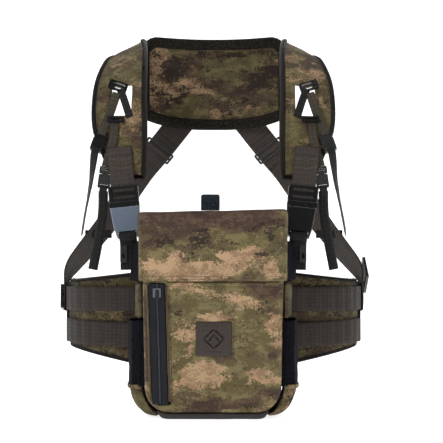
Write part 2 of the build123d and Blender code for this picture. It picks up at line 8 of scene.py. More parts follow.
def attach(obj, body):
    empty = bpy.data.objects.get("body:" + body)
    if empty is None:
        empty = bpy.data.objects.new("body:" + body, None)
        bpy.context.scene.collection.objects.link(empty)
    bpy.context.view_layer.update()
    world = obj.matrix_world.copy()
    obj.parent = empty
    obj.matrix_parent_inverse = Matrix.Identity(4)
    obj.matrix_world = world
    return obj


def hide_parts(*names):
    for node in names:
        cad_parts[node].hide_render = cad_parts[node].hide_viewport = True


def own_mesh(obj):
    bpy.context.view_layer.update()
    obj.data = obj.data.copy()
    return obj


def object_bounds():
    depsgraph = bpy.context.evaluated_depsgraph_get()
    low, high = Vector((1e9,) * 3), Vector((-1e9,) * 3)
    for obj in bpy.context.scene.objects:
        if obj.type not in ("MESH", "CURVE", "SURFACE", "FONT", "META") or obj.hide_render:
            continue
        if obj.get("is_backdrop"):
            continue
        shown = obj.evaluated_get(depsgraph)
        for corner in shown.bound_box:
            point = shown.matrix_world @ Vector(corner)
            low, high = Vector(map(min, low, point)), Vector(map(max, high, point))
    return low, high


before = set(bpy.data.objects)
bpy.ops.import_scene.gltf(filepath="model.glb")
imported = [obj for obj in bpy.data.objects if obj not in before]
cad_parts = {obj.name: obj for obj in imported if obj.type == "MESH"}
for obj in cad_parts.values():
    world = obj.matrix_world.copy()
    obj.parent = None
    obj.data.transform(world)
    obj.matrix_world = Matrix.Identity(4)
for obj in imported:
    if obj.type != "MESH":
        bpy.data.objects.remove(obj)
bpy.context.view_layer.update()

BODY = "pack_and_harness"
SIDES = ((-1, "left"), (1, "right"))
MM = 0.001


# ---------------------------------------------------------------- node helpers
def times(colour, share):
    return tuple(c * share for c in colour)


class Nodes:
    """Short calls for building one material's node tree."""

    def __init__(self, name):
        self.mat = bpy.data.materials.new(name)
        self.mat.use_nodes = True
        self.tree = self.mat.node_tree
        self.bsdf = next(n for n in self.tree.nodes if n.type == "BSDF_PRINCIPLED")

    def new(self, kind, **values):
        node = self.tree.nodes.new("ShaderNode" + kind)
        for key, value in values.items():
            if hasattr(node, key):
                setattr(node, key, value)
            else:
                self.put(node.inputs[key.replace("_", " ")], value)
        return node

    def put(self, socket, value):
        if isinstance(value, bpy.types.NodeSocket):
            self.tree.links.new(value, socket)
        else:
            socket.default_value = value

    def math(self, operation, a, b):
        node = self.new("Math", operation=operation)
        self.put(node.inputs[0], a)
        self.put(node.inputs[1], b)
        return node.outputs[0]

    def scaled(self, value, scale, shift):
        """The value times scale, plus shift."""
        return self.math("ADD", self.math("MULTIPLY", value, scale), shift)

    def vmath(self, operation, a, b):
        node = self.new("VectorMath", operation=operation)
        self.put(node.inputs[0], a)
        self.put(node.inputs[1], b)
        return node.outputs[0]

    def coords(self, kind="Object", scale=(1, 1, 1), shift=(0, 0, 0)):
        source = self.new("TexCoord").outputs[kind]
        node = self.new("Mapping")
        self.put(node.inputs["Vector"], source)
        node.inputs["Scale"].default_value = scale
        node.inputs["Location"].default_value = shift
        return node.outputs[0]

    def noise(self, where, scale, detail=2.0, roughness=0.5, colour=False):
        node = self.new("TexNoise")
        self.put(node.inputs["Vector"], where)
        node.inputs["Scale"].default_value = scale
        node.inputs["Detail"].default_value = detail
        node.inputs["Roughness"].default_value = roughness
        return node.outputs["Color" if colour else "Fac"]

    def voronoi(self, where, scale):
        node = self.new("TexVoronoi")
        self.put(node.inputs["Vector"], where)
        node.inputs["Scale"].default_value = scale
        return node.outputs["Distance"]

    def wave(self, where, scale, direction):
        node = self.new("TexWave", bands_direction=direction)
        self.put(node.inputs["Vector"], where)
        node.inputs["Scale"].default_value = scale
        return node.outputs["Fac"]

    def mix(self, share, a, b, blend="MIX"):
        node = self.new("Mix", data_type="RGBA", blend_type=blend)
        self.put(node.inputs[0], share)
        for socket, value in ((node.inputs[6], a), (node.inputs[7], b)):
            self.put(socket, value if isinstance(value, bpy.types.NodeSocket) else (*value, 1.0))
        return node.outputs[2]

    def step(self, value, start, width=0.02):
        node = self.new("MapRange", interpolation_type="SMOOTHSTEP")
        self.put(node.inputs["Value"], value)
        node.inputs["From Min"].default_value = start
        node.inputs["From Max"].default_value = start + width
        return node.outputs[0]

    def bump(self, height, distance, strength=1.0, under=None):
        node = self.new("Bump")
        self.put(node.inputs["Height"], height)
        node.inputs["Distance"].default_value = distance
        node.inputs["Strength"].default_value = strength
        if under is not None:
            self.put(node.inputs["Normal"], under)
        return node.outputs[0]

    def finish(self, colour, roughness, normal=None, **constants):
        self.put(self.bsdf.inputs["Base Color"], colour)
        self.put(self.bsdf.inputs["Roughness"], roughness)
        if normal is not None:
            self.put(self.bsdf.inputs["Normal"], normal)
        for key, value in constants.items():
            self.bsdf.inputs[key.replace("_", " ")].default_value = value
        return self.mat


TAN = (0.265, 0.168, 0.098)
TAN_LIGHT = (0.450, 0.302, 0.176)
OLIVE = (0.108, 0.087, 0.040)
OLIVE_LIGHT = (0.182, 0.150, 0.070)
BROWN = (0.108, 0.069, 0.047)
DARK = (0.036, 0.024, 0.019)


def spots(n, where, places):
    """Soft spots that steer the print, each (x, z, reach across, reach up, weight), places in millimetres."""
    total = None
    for x, z, across, up, weight in places:
        offset = n.vmath("MULTIPLY", n.vmath("SUBTRACT", where, (x * MM, 0, z * MM)),
                         (1000.0 / across, 0, 1000.0 / up))
        reach = n.new("VectorMath", operation="LENGTH")
        n.put(reach.inputs[0], offset)
        fade = n.new("MapRange", interpolation_type="SMOOTHSTEP")
        n.put(fade.inputs["Value"], reach.outputs["Value"])
        for key, value in (("From Min", 0.3), ("From Max", 1.4), ("To Min", weight), ("To Max", 0.0)):
            fade.inputs[key].default_value = value
        total = fade.outputs[0] if total is None else n.math("ADD", total, fade.outputs[0])
    return total


def camo(name, shift=(0, 0, 0), tan=0.53, brown=0.56, dark=0.62, tone_and_shade=1.0, tan_at=(), brown_at=(),
         dark_at=()):
    """Printed field camouflage: olive ground, tan drifts, brown clouds, dark streaks and dusty edges."""
    n = Nodes(name)
    place = n.coords()
    flat = n.coords(scale=(1.0, 1.0, 1.5), shift=shift)
    warp = n.vmath("SUBTRACT", n.noise(flat, 36, 5, 0.62, True), (0.5, 0.5, 0.5))
    where = n.vmath("ADD", flat, n.vmath("MULTIPLY", warp, (0.030, 0.030, 0.022)))
    bent = n.vmath("ADD", place, n.vmath("MULTIPLY", warp, (0.050, 0.0, 0.030)))
    dust = n.math("SUBTRACT", n.noise(n.coords(scale=(1, 1, 1.3)), 430, 3, 0.8), 0.5)
    grit = n.math("SUBTRACT", n.noise(n.coords(shift=(3, 1, 2)), 175, 5, 0.75), 0.5)
    dusty = n.scaled(dust, 0.55, n.math("MULTIPLY", grit, 0.42))

    def patch(offset, scale, start, stretch=1.0, width=0.03, places=(), detail=8, rough=0.62, speck=1.0):
        spot = n.vmath("ADD", n.vmath("MULTIPLY", where, (1.0, 1.0, stretch)), offset)
        value = n.math("ADD", n.noise(spot, scale, detail, rough), n.math("MULTIPLY", dusty, speck))
        if places:
            value = n.math("ADD", value, spots(n, bent, places))
        return n.step(value, start, width)

    leaf = n.step(n.scaled(dusty, 0.5, n.noise(where, 60, 6, 0.65)), 0.44, 0.14)
    ground = n.mix(leaf, OLIVE, OLIVE_LIGHT)
    sand = n.mix(n.step(n.math("ADD", n.noise(where, 70, 7, 0.7), dusty), 0.40, 0.18), TAN, TAN_LIGHT)
    colour = n.mix(patch((1.7, 0.3, 0.9), 24, tan, places=tan_at), ground, sand)
    earth = n.mix(n.step(n.math("ADD", n.noise(where, 90, 5, 0.7), dusty), 0.45, 0.15), DARK, BROWN)
    cloud = patch((4.1, 2.2, 1.3), 26, brown, 1.4, places=brown_at)
    colour = n.mix(cloud, colour, n.mix(0.35, earth, BROWN))
    colour = n.mix(patch((7.3, 5.9, 3.1), 40, dark, 1.9, places=dark_at, rough=0.7), colour, DARK)
    # fine grains of the other inks along every edge
    colour = n.mix(n.math("MULTIPLY", patch((9.1, 3.3, 6.1), 95, 0.70, 1.5, speck=1.6), 0.75), colour, TAN)
    colour = n.mix(n.math("MULTIPLY", patch((5.1, 8.3, 2.1), 85, 0.69, 1.7, speck=1.8), 0.8), colour, DARK)
    # tone_and_shade darkens the whole print: painted shade for pieces that get less light (yoke, sides, belt),
    # and for the belt partly its own darker print; the noise adds uneven tone
    tone = n.scaled(n.noise(where, 12, 2), 0.22 * tone_and_shade, 0.89 * tone_and_shade)
    grey = n.new("CombineColor")
    for socket in grey.inputs[:3]:
        n.put(socket, tone)
    colour = n.mix(1.0, colour, grey.outputs[0], "MULTIPLY")
    nap = n.noise(place, 2600, 2, 0.6)
    folds = n.noise(place, 55, 3, 0.5)
    normal = n.bump(nap, 0.0004, 0.5, n.bump(folds, 0.0030, 0.45))
    return n.finish(colour, n.scaled(nap, 0.15, 0.78), normal, Sheen_Weight=0.04,
                    Sheen_Roughness=0.5, Specular_IOR_Level=0.15)


def woven(name, colour, ribs=520.0, rows=380.0, depth=0.00035, wear_and_rib_light=0.25, roughness=0.72):
    """Webbing or tape: fine ribs across and rows along, read from the strap's own UVs in metres."""
    n = Nodes(name)
    uv = n.coords("UV")
    across = n.wave(uv, ribs / math.tau, "X")
    along = n.wave(uv, rows / math.tau, "Y")
    weave = n.scaled(across, 0.5, n.math("MULTIPLY", along, 0.6))
    cloud = n.noise(n.coords(), 90, 4, 0.6)
    # lit and low are lit and shaded copies of the colour: the weave share paints highlight on the rib crowns
    # and shade between them, and the cloud share is uneven tone of the yarn
    lit = tuple(min(1.0, c * (1 + wear_and_rib_light * 1.6) + 0.003) for c in colour)
    low = times(colour, 1 - wear_and_rib_light)
    tint = n.mix(n.scaled(weave, 0.45, n.math("MULTIPLY", cloud, 0.5)), low, lit)
    fuzz = n.noise(n.coords(), 1900, 2)
    return n.finish(tint, roughness, n.bump(weave, depth, 0.9, n.bump(fuzz, 0.0002, 0.4)), Sheen_Weight=0.03,
                    Specular_IOR_Level=0.2)


def mesh_cloth(name, colour, scale=620.0):
    """Dark knitted or stretch cloth with a fine grid of cells."""
    n = Nodes(name)
    cells = n.voronoi(n.coords(), scale)
    cloud = n.noise(n.coords(), 40, 3)
    # painted shade and light: the tint is darker in each cell's pit and lighter on the cell walls, following
    # the bump; the cloud share is uneven tone
    low = times(colour, 0.45)
    tint = n.mix(n.step(cells, 0.25, 0.45), low, times(colour, 1.5))
    tint = n.mix(n.math("MULTIPLY", cloud, 0.35), tint, times(colour, 1.9))
    return n.finish(tint, 0.85, n.bump(cells, 0.0005, 0.7, n.bump(cloud, 0.003, 0.3)),
                    Specular_IOR_Level=0.05)


def moulded(name, colour, roughness=0.32, grain=0.00008):
    """Moulded plastic: satin, finely grained, lighter where it is rubbed."""
    n = Nodes(name)
    fine = n.noise(n.coords(), 1700, 3, 0.6)
    rub = n.noise(n.coords(), 120, 5, 0.65)
    tint = n.mix(n.step(rub, 0.50, 0.5), times(colour, 0.92), tuple(c * 1.25 + 0.001 for c in colour))
    rough = n.scaled(rub, 0.16, roughness - 0.08)
    return n.finish(tint, rough, n.bump(fine, grain, 0.6), Specular_IOR_Level=0.5)


def coated(name, colour, roughness=0.5):
    """Smooth coated tape or fabric with soft creases."""
    n = Nodes(name)
    crease = n.noise(n.coords(scale=(1.0, 1.0, 0.35)), 150, 3, 0.55)
    fine = n.noise(n.coords(), 1500, 2)
    # painted shade and light: the tint is darker in the creases' hollows and lighter on their crests,
    # following the crease bump
    tint = n.mix(crease, times(colour, 0.7), times(colour, 1.5))
    return n.finish(tint, n.scaled(crease, 0.2, roughness - 0.1),
                    n.bump(crease, 0.0012, 0.35, n.bump(fine, 0.0002, 0.5)), Specular_IOR_Level=0.2)


def leather(name, colour):
    """Brown leather with pebbled grain and darker pores."""
    n = Nodes(name)
    pebble = n.voronoi(n.coords(), 900)
    cloud = n.noise(n.coords(), 110, 5, 0.6)
    tint = n.mix(cloud, times(colour, 0.6), times(colour, 1.5))
    return n.finish(tint, n.scaled(cloud, 0.25, 0.4),
                    n.bump(pebble, 0.0005, 0.5, n.bump(cloud, 0.001, 0.3)), Specular_IOR_Level=0.4)


def metal(name, colour, roughness):
    """Painted or plated metal with fine upright scratches."""
    n = Nodes(name)
    scratch = n.noise(n.coords(scale=(1, 1, 6)), 700, 4, 0.7)
    tint = n.mix(scratch, times(colour, 0.75), tuple(min(1, c * 1.25) for c in colour))
    return n.finish(tint, n.scaled(scratch, 0.2, roughness - 0.1),
                    n.bump(scratch, 0.00006, 0.5), Metallic=1.0)


# where each print has its tan, brown and dark areas (see spots()). A negative weight keeps an ink away
LID_TAN = ((31, 60, 22, 13, 0.22), (-42, 50, 34, 11, 0.20), (-4, 45, 34, 9, 0.20), (57, 45, 18, 10, 0.17),
           (8, 62, 18, 6, 0.12), (0, 96, 90, 16, -0.30))
LID_BROWN = ((-20, 99, 60, 9, 0.20), (50, 94, 34, 12, 0.20), (0, 108, 90, 12, 0.14), (-45, 84, 26, 8, 0.12),
             (10, 88, 40, 8, 0.12), (0, 50, 80, 14, -0.10))
LID_DARK = ((-47, 74, 17, 7, 0.17), (-16, 77, 12, 10, 0.18), (54, 86, 18, 8, 0.14), (60, 72, 16, 5, 0.12),
            (22, 78, 14, 4, 0.09), (0, 48, 80, 14, -0.08))
FRONT_TAN = ((32, 13, 20, 9, 0.20), (6, 0, 17, 6, 0.17), (62, -3, 10, 18, 0.17), (-29, 29, 16, 6, 0.18),
             (-24, -20, 12, 8, 0.14), (-9, -58, 24, 15, 0.22), (49, -60, 24, 9, 0.18), (62, -26, 9, 9, 0.14),
             (-19, 12, 22, 9, -0.20), (37, -16, 26, 20, -0.16), (20, -72, 12, 9, -0.14))
FRONT_BROWN = ((-66, -20, 6, 60, 0.16), (54, 26, 24, 8, 0.20), (-6, 31, 34, 4, 0.13),
               (-36, -10, 11, 12, 0.15),
               (2, -87, 50, 7, 0.16), (8, -38, 16, 5, 0.13), (-36, -72, 10, 14, 0.11), (60, -42, 12, 5, 0.12),
               (37, -14, 24, 16, -0.15), (-14, 12, 24, 9, -0.12))
FRONT_DARK = ((58, 20, 15, 5, 0.13), (-30, -92, 24, 4, 0.12), (46, -91, 22, 4, 0.12), (-38, 4, 8, 4, 0.10))
YOKE_TAN = ((-68, 256, 17, 38, 0.50), (-30, 262, 14, 10, 0.20), (-26, 245, 22, 7, 0.18),
            (28, 222, 48, 7, 0.08),
            (40, 262, 40, 14, -0.12))
# the last row, a thin dark band just under the upper trim, is painted shadow of the trim; the other rows are
# print
YOKE_DARK_AND_SHADOW = ((-45, 264, 15, 16, 0.17), (56, 256, 24, 16, 0.19), (-50, 236, 18, 6, 0.12),
             (0, 282, 60, 5, 0.08))

M = {
    "camo_lid": camo("camo_lid", (0.11, 0.0, 0.09), tan=0.58, brown=0.555, dark=0.62, tan_at=LID_TAN,
                     brown_at=LID_BROWN, dark_at=LID_DARK),
    "camo_front": camo("camo_front", (0.62, 0.3, 0.31), tan=0.575, brown=0.575, dark=0.64, tan_at=FRONT_TAN,
                       brown_at=FRONT_BROWN, dark_at=FRONT_DARK),
    # tone_and_shade below 1 dims a print: painted shade on the sides, yoke and belt, which sit in less light,
    # together with the belt's darker print
    "camo_side": camo("camo_side", (0.2, 0.1, 0.5), tan=0.58, brown=0.53, dark=0.58, tone_and_shade=0.70),
    "camo_pad": camo("camo_pad", (0.4, 0.7, 0.2), tan=0.545, brown=0.55, dark=0.61, tone_and_shade=0.86),
    "camo_yoke": camo("camo_yoke", (0.9, 0.2, 0.6), tan=0.60, brown=0.50, dark=0.575, tone_and_shade=0.74,
                      tan_at=YOKE_TAN,
                      dark_at=YOKE_DARK_AND_SHADOW),
    "camo_belt": camo("camo_belt", (0.3, 0.5, 0.8), tan=0.60, brown=0.49, dark=0.53, tone_and_shade=0.56),
    "webbing_brown": woven("webbing_brown", (0.046, 0.037, 0.032)),
    "webbing_belt": woven("webbing_belt", (0.029, 0.0225, 0.0190)),
    "webbing_olive": woven("webbing_olive", (0.044, 0.037, 0.026), wear_and_rib_light=0.4),
    "webbing_black": woven("webbing_black", (0.010, 0.0095, 0.010)),
    "binding": woven("binding", (0.016, 0.0125, 0.0105), ribs=900, rows=900),
    "piping": woven("piping", (0.150, 0.108, 0.058), ribs=1500, rows=1500),
    "thread": woven("thread", (0.060, 0.046, 0.036), ribs=4000, rows=4000, depth=0.0001),
    "thread_light": woven("thread_light", (0.19, 0.14, 0.085), ribs=4000, rows=4000, depth=0.0001),
    "dark_fabric": mesh_cloth("dark_fabric", (0.0062, 0.0058, 0.0086)),
    "tab_fabric": mesh_cloth("tab_fabric", (0.027, 0.034, 0.042)),
    "trim_mesh": mesh_cloth("trim_mesh", (0.0150, 0.0128, 0.0100), 420),
    "spacer_mesh": mesh_cloth("spacer_mesh", (0.016, 0.016, 0.017), 300),
    "plastic": moulded("plastic", (0.0042, 0.0040, 0.0046), 0.26),
    "plastic_grey": moulded("plastic_grey", (0.150, 0.182, 0.240), 0.24),
    # lighter than the other plastic: painted highlight standing for the gloss on the rear glides' bars
    "plastic_bar_highlight": moulded("plastic_bar_highlight", (0.050, 0.050, 0.054), 0.26),
    "zip_tape": coated("zip_tape", (0.0070, 0.0086, 0.0125), 0.42),
    "base_rubber": coated("base_rubber", (0.034, 0.030, 0.028), 0.55),
    "patch_leather": leather("patch_leather", (0.031, 0.0205, 0.0160)),
    "patch_dark": leather("patch_dark", (0.013, 0.0095, 0.0085)),
    "zip_metal": metal("zip_metal", (0.16, 0.16, 0.175), 0.26),
    "zip_pull": metal("zip_pull", (0.035, 0.035, 0.042), 0.16),
    "magnet": metal("magnet", (0.20, 0.20, 0.21), 0.4),
    "stiffener": coated("stiffener", (0.05, 0.05, 0.05)),
    "zip_coil": moulded("zip_coil", (0.012, 0.014, 0.022), 0.35),
}


# ---------------------------------------------------------------- mesh helpers
def declare(obj, material, body=BODY, replaces=()):
    """Gives a piece its material and body, and hides the CAD nodes it stands for."""
    obj.data.materials.clear()
    obj.data.materials.append(M[material])
    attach(obj, body)
    if replaces:
        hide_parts(*replaces)
    return obj


def mesh_object(name, verts, faces, uvs=None):
    """A mesh object from points in metres. uvs gives each point its place in metres on the cloth."""
    mesh = bpy.data.meshes.new(name)
    mesh.from_pydata([tuple(v) for v in verts], [], faces)
    mesh.validate()
    if uvs is not None:
        layer = mesh.uv_layers.new(name="cloth")
        for loop in mesh.loops:
            layer.data[loop.index].uv = uvs[loop.vertex_index]
    for poly in mesh.polygons:
        poly.use_smooth = True
    obj = bpy.data.objects.new(name, mesh)
    bpy.context.scene.collection.objects.link(obj)
    return obj


def curve_at(points, t):
    """A Catmull-Rom curve through vectors, at t from 0 to the last index."""
    last = len(points) - 1
    i = min(int(t), last - 1)
    f = t - i
    p0, p1, p2, p3 = (points[min(max(k, 0), last)] for k in (i - 1, i, i + 1, i + 2))
    return 0.5 * (2 * p1 + (p2 - p0) * f + (2 * p0 - 5 * p1 + 4 * p2 - p3) * f ** 2
                  + (3 * p1 - p0 - 3 * p2 + p3) * f ** 3)


def resample(points, normals, step, smooth=True):
    """Points and normals evenly along a route, about one step apart."""
    last = len(points) - 1
    out = []
    for i in range(last):
        length = (points[i + 1] - points[i]).length
        count = max(1, round(length / step))
        for k in range(count):
            t = i + k / count
            if smooth:
                out.append((curve_at(points, t), curve_at(normals, t)))
            else:
                f = k / count
                out.append((points[i].lerp(points[i + 1], f), normals[i].lerp(normals[i + 1], f)))
    out.append((points[-1].copy(), normals[-1].copy()))
    return out


def ribbon(name, points, normals, width, thick, material, slot, body=BODY, replaces=(), step=3 * MM,
           smooth=True,
           wobble=0.0, closed=False):
    """A strap swept along a route: an oval-edged section, its flat face turned to the normals."""
    rows = resample(points, normals, step, smooth)
    if closed:
        rows = rows[:-1]
    count = len(rows)
    half, deep = width / 2, thick / 2
    edge = min(half, deep)
    upper = [(-half, 0), (-half + edge * 0.3, deep * 0.75), (-half + edge, deep), (-half * 0.4, deep),
             (half * 0.4, deep), (half - edge, deep), (half - edge * 0.3, deep * 0.75)]
    section = upper + [(-a, -b) for a, b in upper]
    size = len(section)
    verts, uvs, faces = [], [], []
    travelled = 0.0
    for i, (point, normal) in enumerate(rows):
        if closed:
            along = (rows[(i + 1) % count][0] - rows[i - 1][0]).normalized()
        else:
            along = (rows[min(i + 1, count - 1)][0] - rows[max(i - 1, 0)][0]).normalized()
        out = (normal - along * normal.dot(along)).normalized()
        across = along.cross(out)
        if i:
            travelled += (point - rows[i - 1][0]).length
        lift = wobble * noise.noise(point * 60.0) if wobble else 0.0
        for a, b in section:
            verts.append(point + across * a + out * (b + lift))
            uvs.append((a, travelled))
    loops = count if closed else count - 1
    for i in range(loops):
        j = (i + 1) % count
        for k in range(size):
            m = (k + 1) % size
            faces.append((i * size + k, i * size + m, j * size + m, j * size + k))
    if not closed:
        faces.append(tuple(range(size - 1, -1, -1)))
        faces.append(tuple((count - 1) * size + k for k in range(size)))
    obj = mesh_object(name, verts, faces, uvs)
    fix_normals(obj)
    return declare(obj, material, body, replaces)


def fix_normals(obj):
    bm = bmesh.new()
    bm.from_mesh(obj.data)
    bmesh.ops.recalc_face_normals(bm, faces=bm.faces)
    bm.to_mesh(obj.data)
    bm.free()


def stitches(name, points, normals, material, slot, body=BODY, pitch=3.2 * MM, long=2.2 * MM, wide=0.55 * MM,
             smooth=True, rise=0.25 * MM):
    """A row of raised thread stitches along a route."""
    rows = resample(points, normals, pitch, smooth)
    verts, faces, uvs = [], [], []
    for (a, normal), (b, _) in zip(rows, rows[1:]):
        along = (b - a)
        if along.length < 1e-6:
            continue
        along.normalize()
        out = (normal - along * normal.dot(along)).normalized()
        across = along.cross(out) * wide / 2
        start = len(verts)
        middle = (a + b) / 2
        for s, w, h in ((-0.5, 0, 0.1), (-0.32, 1, 0.3), (-0.32, -1, 0.3), (-0.25, 0, 1), (0.25, 0, 1),
                        (0.32, 1, 0.3),
                        (0.32, -1, 0.3), (0.5, 0, 0.1)):
            verts.append(middle + along * long * s + across * w + out * rise * h)
            uvs.append((w * wide, s * long))
        for f in ((0, 1, 3), (0, 3, 2), (1, 5, 4, 3), (2, 3, 4, 6), (7, 4, 5), (7, 6, 4), (0, 2, 6, 7),
                  (0, 7, 5, 1)):
            faces.append(tuple(start + k for k in f))
    return declare(mesh_object(name, verts, faces, uvs), material, body)


def slab(name, rows, cols, front, back, holes=()):
    """A closed quilted form from two grids of points that share a rim. holes are (row0, row1, col0, col1)."""
    def skipped(r, c):
        return any(r0 <= r < r1 and c0 <= c < c1 for r0, r1, c0, c1 in holes)

    size = (rows + 1) * (cols + 1)
    verts = [front(r, c) for r in range(rows + 1) for c in range(cols + 1)]
    verts += [back(r, c) for r in range(rows + 1) for c in range(cols + 1)]

    def at(r, c, layer=0):
        return layer * size + r * (cols + 1) + c

    faces = []
    for r in range(rows):
        for c in range(cols):
            if skipped(r, c):
                continue
            faces.append((at(r, c), at(r, c + 1), at(r + 1, c + 1), at(r + 1, c)))
            faces.append((at(r, c, 1), at(r + 1, c, 1), at(r + 1, c + 1, 1), at(r, c + 1, 1)))
            for (dr, dc), (p, q) in (((-1, 0), ((0, 0), (0, 1))), ((1, 0), ((1, 1), (1, 0))),
                                     ((0, -1), ((1, 0), (0, 0))), ((0, 1), ((0, 1), (1, 1)))):
                rr, cc = r + dr, c + dc
                if not (0 <= rr < rows and 0 <= cc < cols) or skipped(rr, cc):
                    a, b = (r + p[0], c + p[1]), (r + q[0], c + q[1])
                    faces.append((at(*b), at(*a), at(*a, 1), at(*b, 1)))
    used = sorted({v for f in faces for v in f})
    index = {v: i for i, v in enumerate(used)}
    obj = mesh_object(name, [verts[v] for v in used], [tuple(index[v] for v in f) for f in faces])
    fix_normals(obj)
    rim = set()
    bm = bmesh.new()
    bm.from_mesh(obj.data)
    for edge in bm.edges:
        normals = [f.normal for f in edge.link_faces]
        if len(normals) == 2 and normals[0].dot(normals[1]) < 0.5:
            rim.update(v.index for v in edge.verts)
    bm.free()
    obj.vertex_groups.new(name="rim").add(sorted(rim), 1.0, "REPLACE")
    return obj


CLOTH_FRAMES = 16
CLOTH_STIFFNESS = 15.0


def inflate(obj, pressure, cap):
    """Swells a closed padded form by cloth simulation with its rim held, moving no point further than cap."""
    rest = [v.co.copy() for v in obj.data.vertices]
    cloth = obj.modifiers.new("cloth", "CLOTH")
    cloth.settings.quality = 4
    cloth.settings.mass = 0.3
    cloth.settings.tension_stiffness = CLOTH_STIFFNESS
    cloth.settings.compression_stiffness = CLOTH_STIFFNESS
    cloth.settings.bending_stiffness = 0.6
    cloth.settings.use_pressure = True
    cloth.settings.uniform_pressure_force = pressure
    cloth.settings.vertex_group_mass = "rim"
    cloth.settings.effector_weights.gravity = 0.0
    cloth.collision_settings.use_collision = False
    cloth.collision_settings.use_self_collision = False
    cloth.point_cache.frame_start = 1
    cloth.point_cache.frame_end = CLOTH_FRAMES
    scene = bpy.context.scene
    for step in range(1, CLOTH_FRAMES + 1):
        scene.frame_set(step)
    swollen = obj.evaluated_get(bpy.context.evaluated_depsgraph_get()).to_mesh()
    moved = [v.co.copy() for v in swollen.vertices]
    obj.evaluated_get(bpy.context.evaluated_depsgraph_get()).to_mesh_clear()
    obj.modifiers.remove(cloth)
    for vert, start, end in zip(obj.data.vertices, rest, moved):
        shift = end - start
        vert.co = start + shift * min(1.0, cap / max(shift.length, 1e-9))
    scene.frame_set(1)


def crumple(obj, depth, scale, seed=0.0):
    """Pushes points along their normals by smooth noise, for the uneven lie of real cloth."""
    mesh = obj.data
    normals = [v.normal.copy() for v in mesh.vertices]
    for vert, normal in zip(mesh.vertices, normals):
        spot = vert.co * scale + Vector((seed, seed * 1.7, seed * 0.3))
        amount = noise.noise(spot) + 0.5 * noise.noise(spot * 2.3)
        vert.co += normal * depth * amount
    mesh.update()


def subdivide(obj):
    mod = obj.modifiers.new("smooth", "SUBSURF")
    mod.levels = mod.render_levels = 1


def cad_object(name):
    """The object that carries a CAD node."""
    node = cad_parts[name]
    return node if isinstance(node, bpy.types.Object) else bpy.data.objects[node]


def soft_copy(node, name, voxel, rounds=4, material="dark_fabric", body=BODY,
              depth=0.5 * MM,
              scale=45.0, shape=None, seed=0.0):
    """A soft piece from a CAD node: remeshed, its corners eased, then crumpled. It replaces the node."""
    obj = bpy.data.objects.new(name, cad_object(node).data.copy())
    bpy.context.scene.collection.objects.link(obj)
    obj.modifiers.clear()
    mod = obj.modifiers.new("voxels", "REMESH")
    mod.mode = "VOXEL"
    mod.voxel_size = voxel
    graph = bpy.context.evaluated_depsgraph_get()
    mesh = bpy.data.meshes.new_from_object(obj.evaluated_get(graph))
    obj.modifiers.clear()
    obj.data = mesh
    bm = bmesh.new()
    bm.from_mesh(mesh)
    for _ in range(rounds):
        bmesh.ops.smooth_vert(bm, verts=bm.verts, factor=0.5, use_axis_x=True, use_axis_y=True,
                              use_axis_z=True)
    bm.to_mesh(mesh)
    bm.free()
    if shape:
        for vert in mesh.vertices:
            vert.co = shape(vert.co)
    mesh.update()
    for poly in mesh.polygons:
        poly.use_smooth = True
    crumple(obj, depth, scale, seed)
    return declare(obj, material, body, (node,))


# --------------------------------------- dimensions in millimetres, as the CAD has them, except that the
# pads' and the yoke's top corners are rounded here. Each pad row is its inner and its outer edge point.
PAD_EDGES = [
    ((71, 0, 140), (104, 4, 140)),
    ((69.5, 1.5, 169), (118, 12, 169)),
    ((69, 7, 193), (127, 28, 193)),
    ((70, 20, 222), (128, 44, 222)),
    ((70.5, 43, 251), (125, 66, 245)),
    ((71.5, 76, 275), (117, 92, 265)),
    ((74, 111, 287), (109, 118, 271)),
    ((76.4, 148, 293.5), (105, 150, 266)),
    ((77.0, 172, 296.0), (98, 175, 260)),
    ((76.0, 185, 293.5), (80, 190, 254)),
]
PAD_END = len(PAD_EDGES) - 1
PAD_T = 9.0
BELT_HALF_X, BELT_HALF_Y, BELT_MID_Y, BELT_POWER = 152.4, 112.8, 104.0, 2.5
WING_X0 = 84.0
WING_TOP, WING_LOW = 40.0, -52.4


def v(x, y, z):
    """A point given in millimetres."""
    return Vector((x, y, z)) * MM


def belt_at(angle):
    """Plan position and outward normal on the belt's middle line, in millimetres."""
    def place(a):
        c, s = math.cos(math.radians(a)), math.sin(math.radians(a))
        power = 2 / BELT_POWER
        return Vector((BELT_HALF_X * abs(s) ** power * (1 if s >= 0 else -1),
                       BELT_MID_Y - BELT_HALF_Y * abs(c) ** power * (1 if c >= 0 else -1), 0))
    along = (place(angle + 0.5) - place(angle - 0.5)).normalized()
    return place(angle), Vector((along.y, -along.x, 0))


def belt_edges(angle):
    """The belt wing's top and bottom edge at an angle, and how far along its taper that is."""
    x = max(abs(belt_at(angle)[0].x), WING_X0) if angle < 90 else BELT_HALF_X
    share = (x - WING_X0) / (BELT_HALF_X - WING_X0)
    return WING_TOP - 8.5 * share, WING_LOW + 14.0 * share, share


def belt_point(side, angle, z, lift=0.0):
    place, out = belt_at(angle)
    spot = place + out * lift
    return v(side * spot.x, spot.y, z), Vector((side * out.x, out.y, 0))


def pad_point(side, t, s, lift=0.0):
    """A point on the pad's middle surface, at t along it and s across, raised by lift millimetres."""
    inner = [Vector((side * a[0], a[1], a[2])) for a, _ in PAD_EDGES]
    outer = [Vector((side * b[0], b[1], b[2])) for _, b in PAD_EDGES]
    a, b = curve_at(inner, t), curve_at(outer, t)
    low, high = max(0.0, t - 0.1), min(PAD_END, t + 0.1)
    along = (curve_at(inner, high) + curve_at(outer, high) - curve_at(inner, low) - curve_at(outer,
                                                                                             low)).normalized()
    out = (b - a).cross(along).normalized() * side
    return (a.lerp(b, s) + out * lift) * MM, out


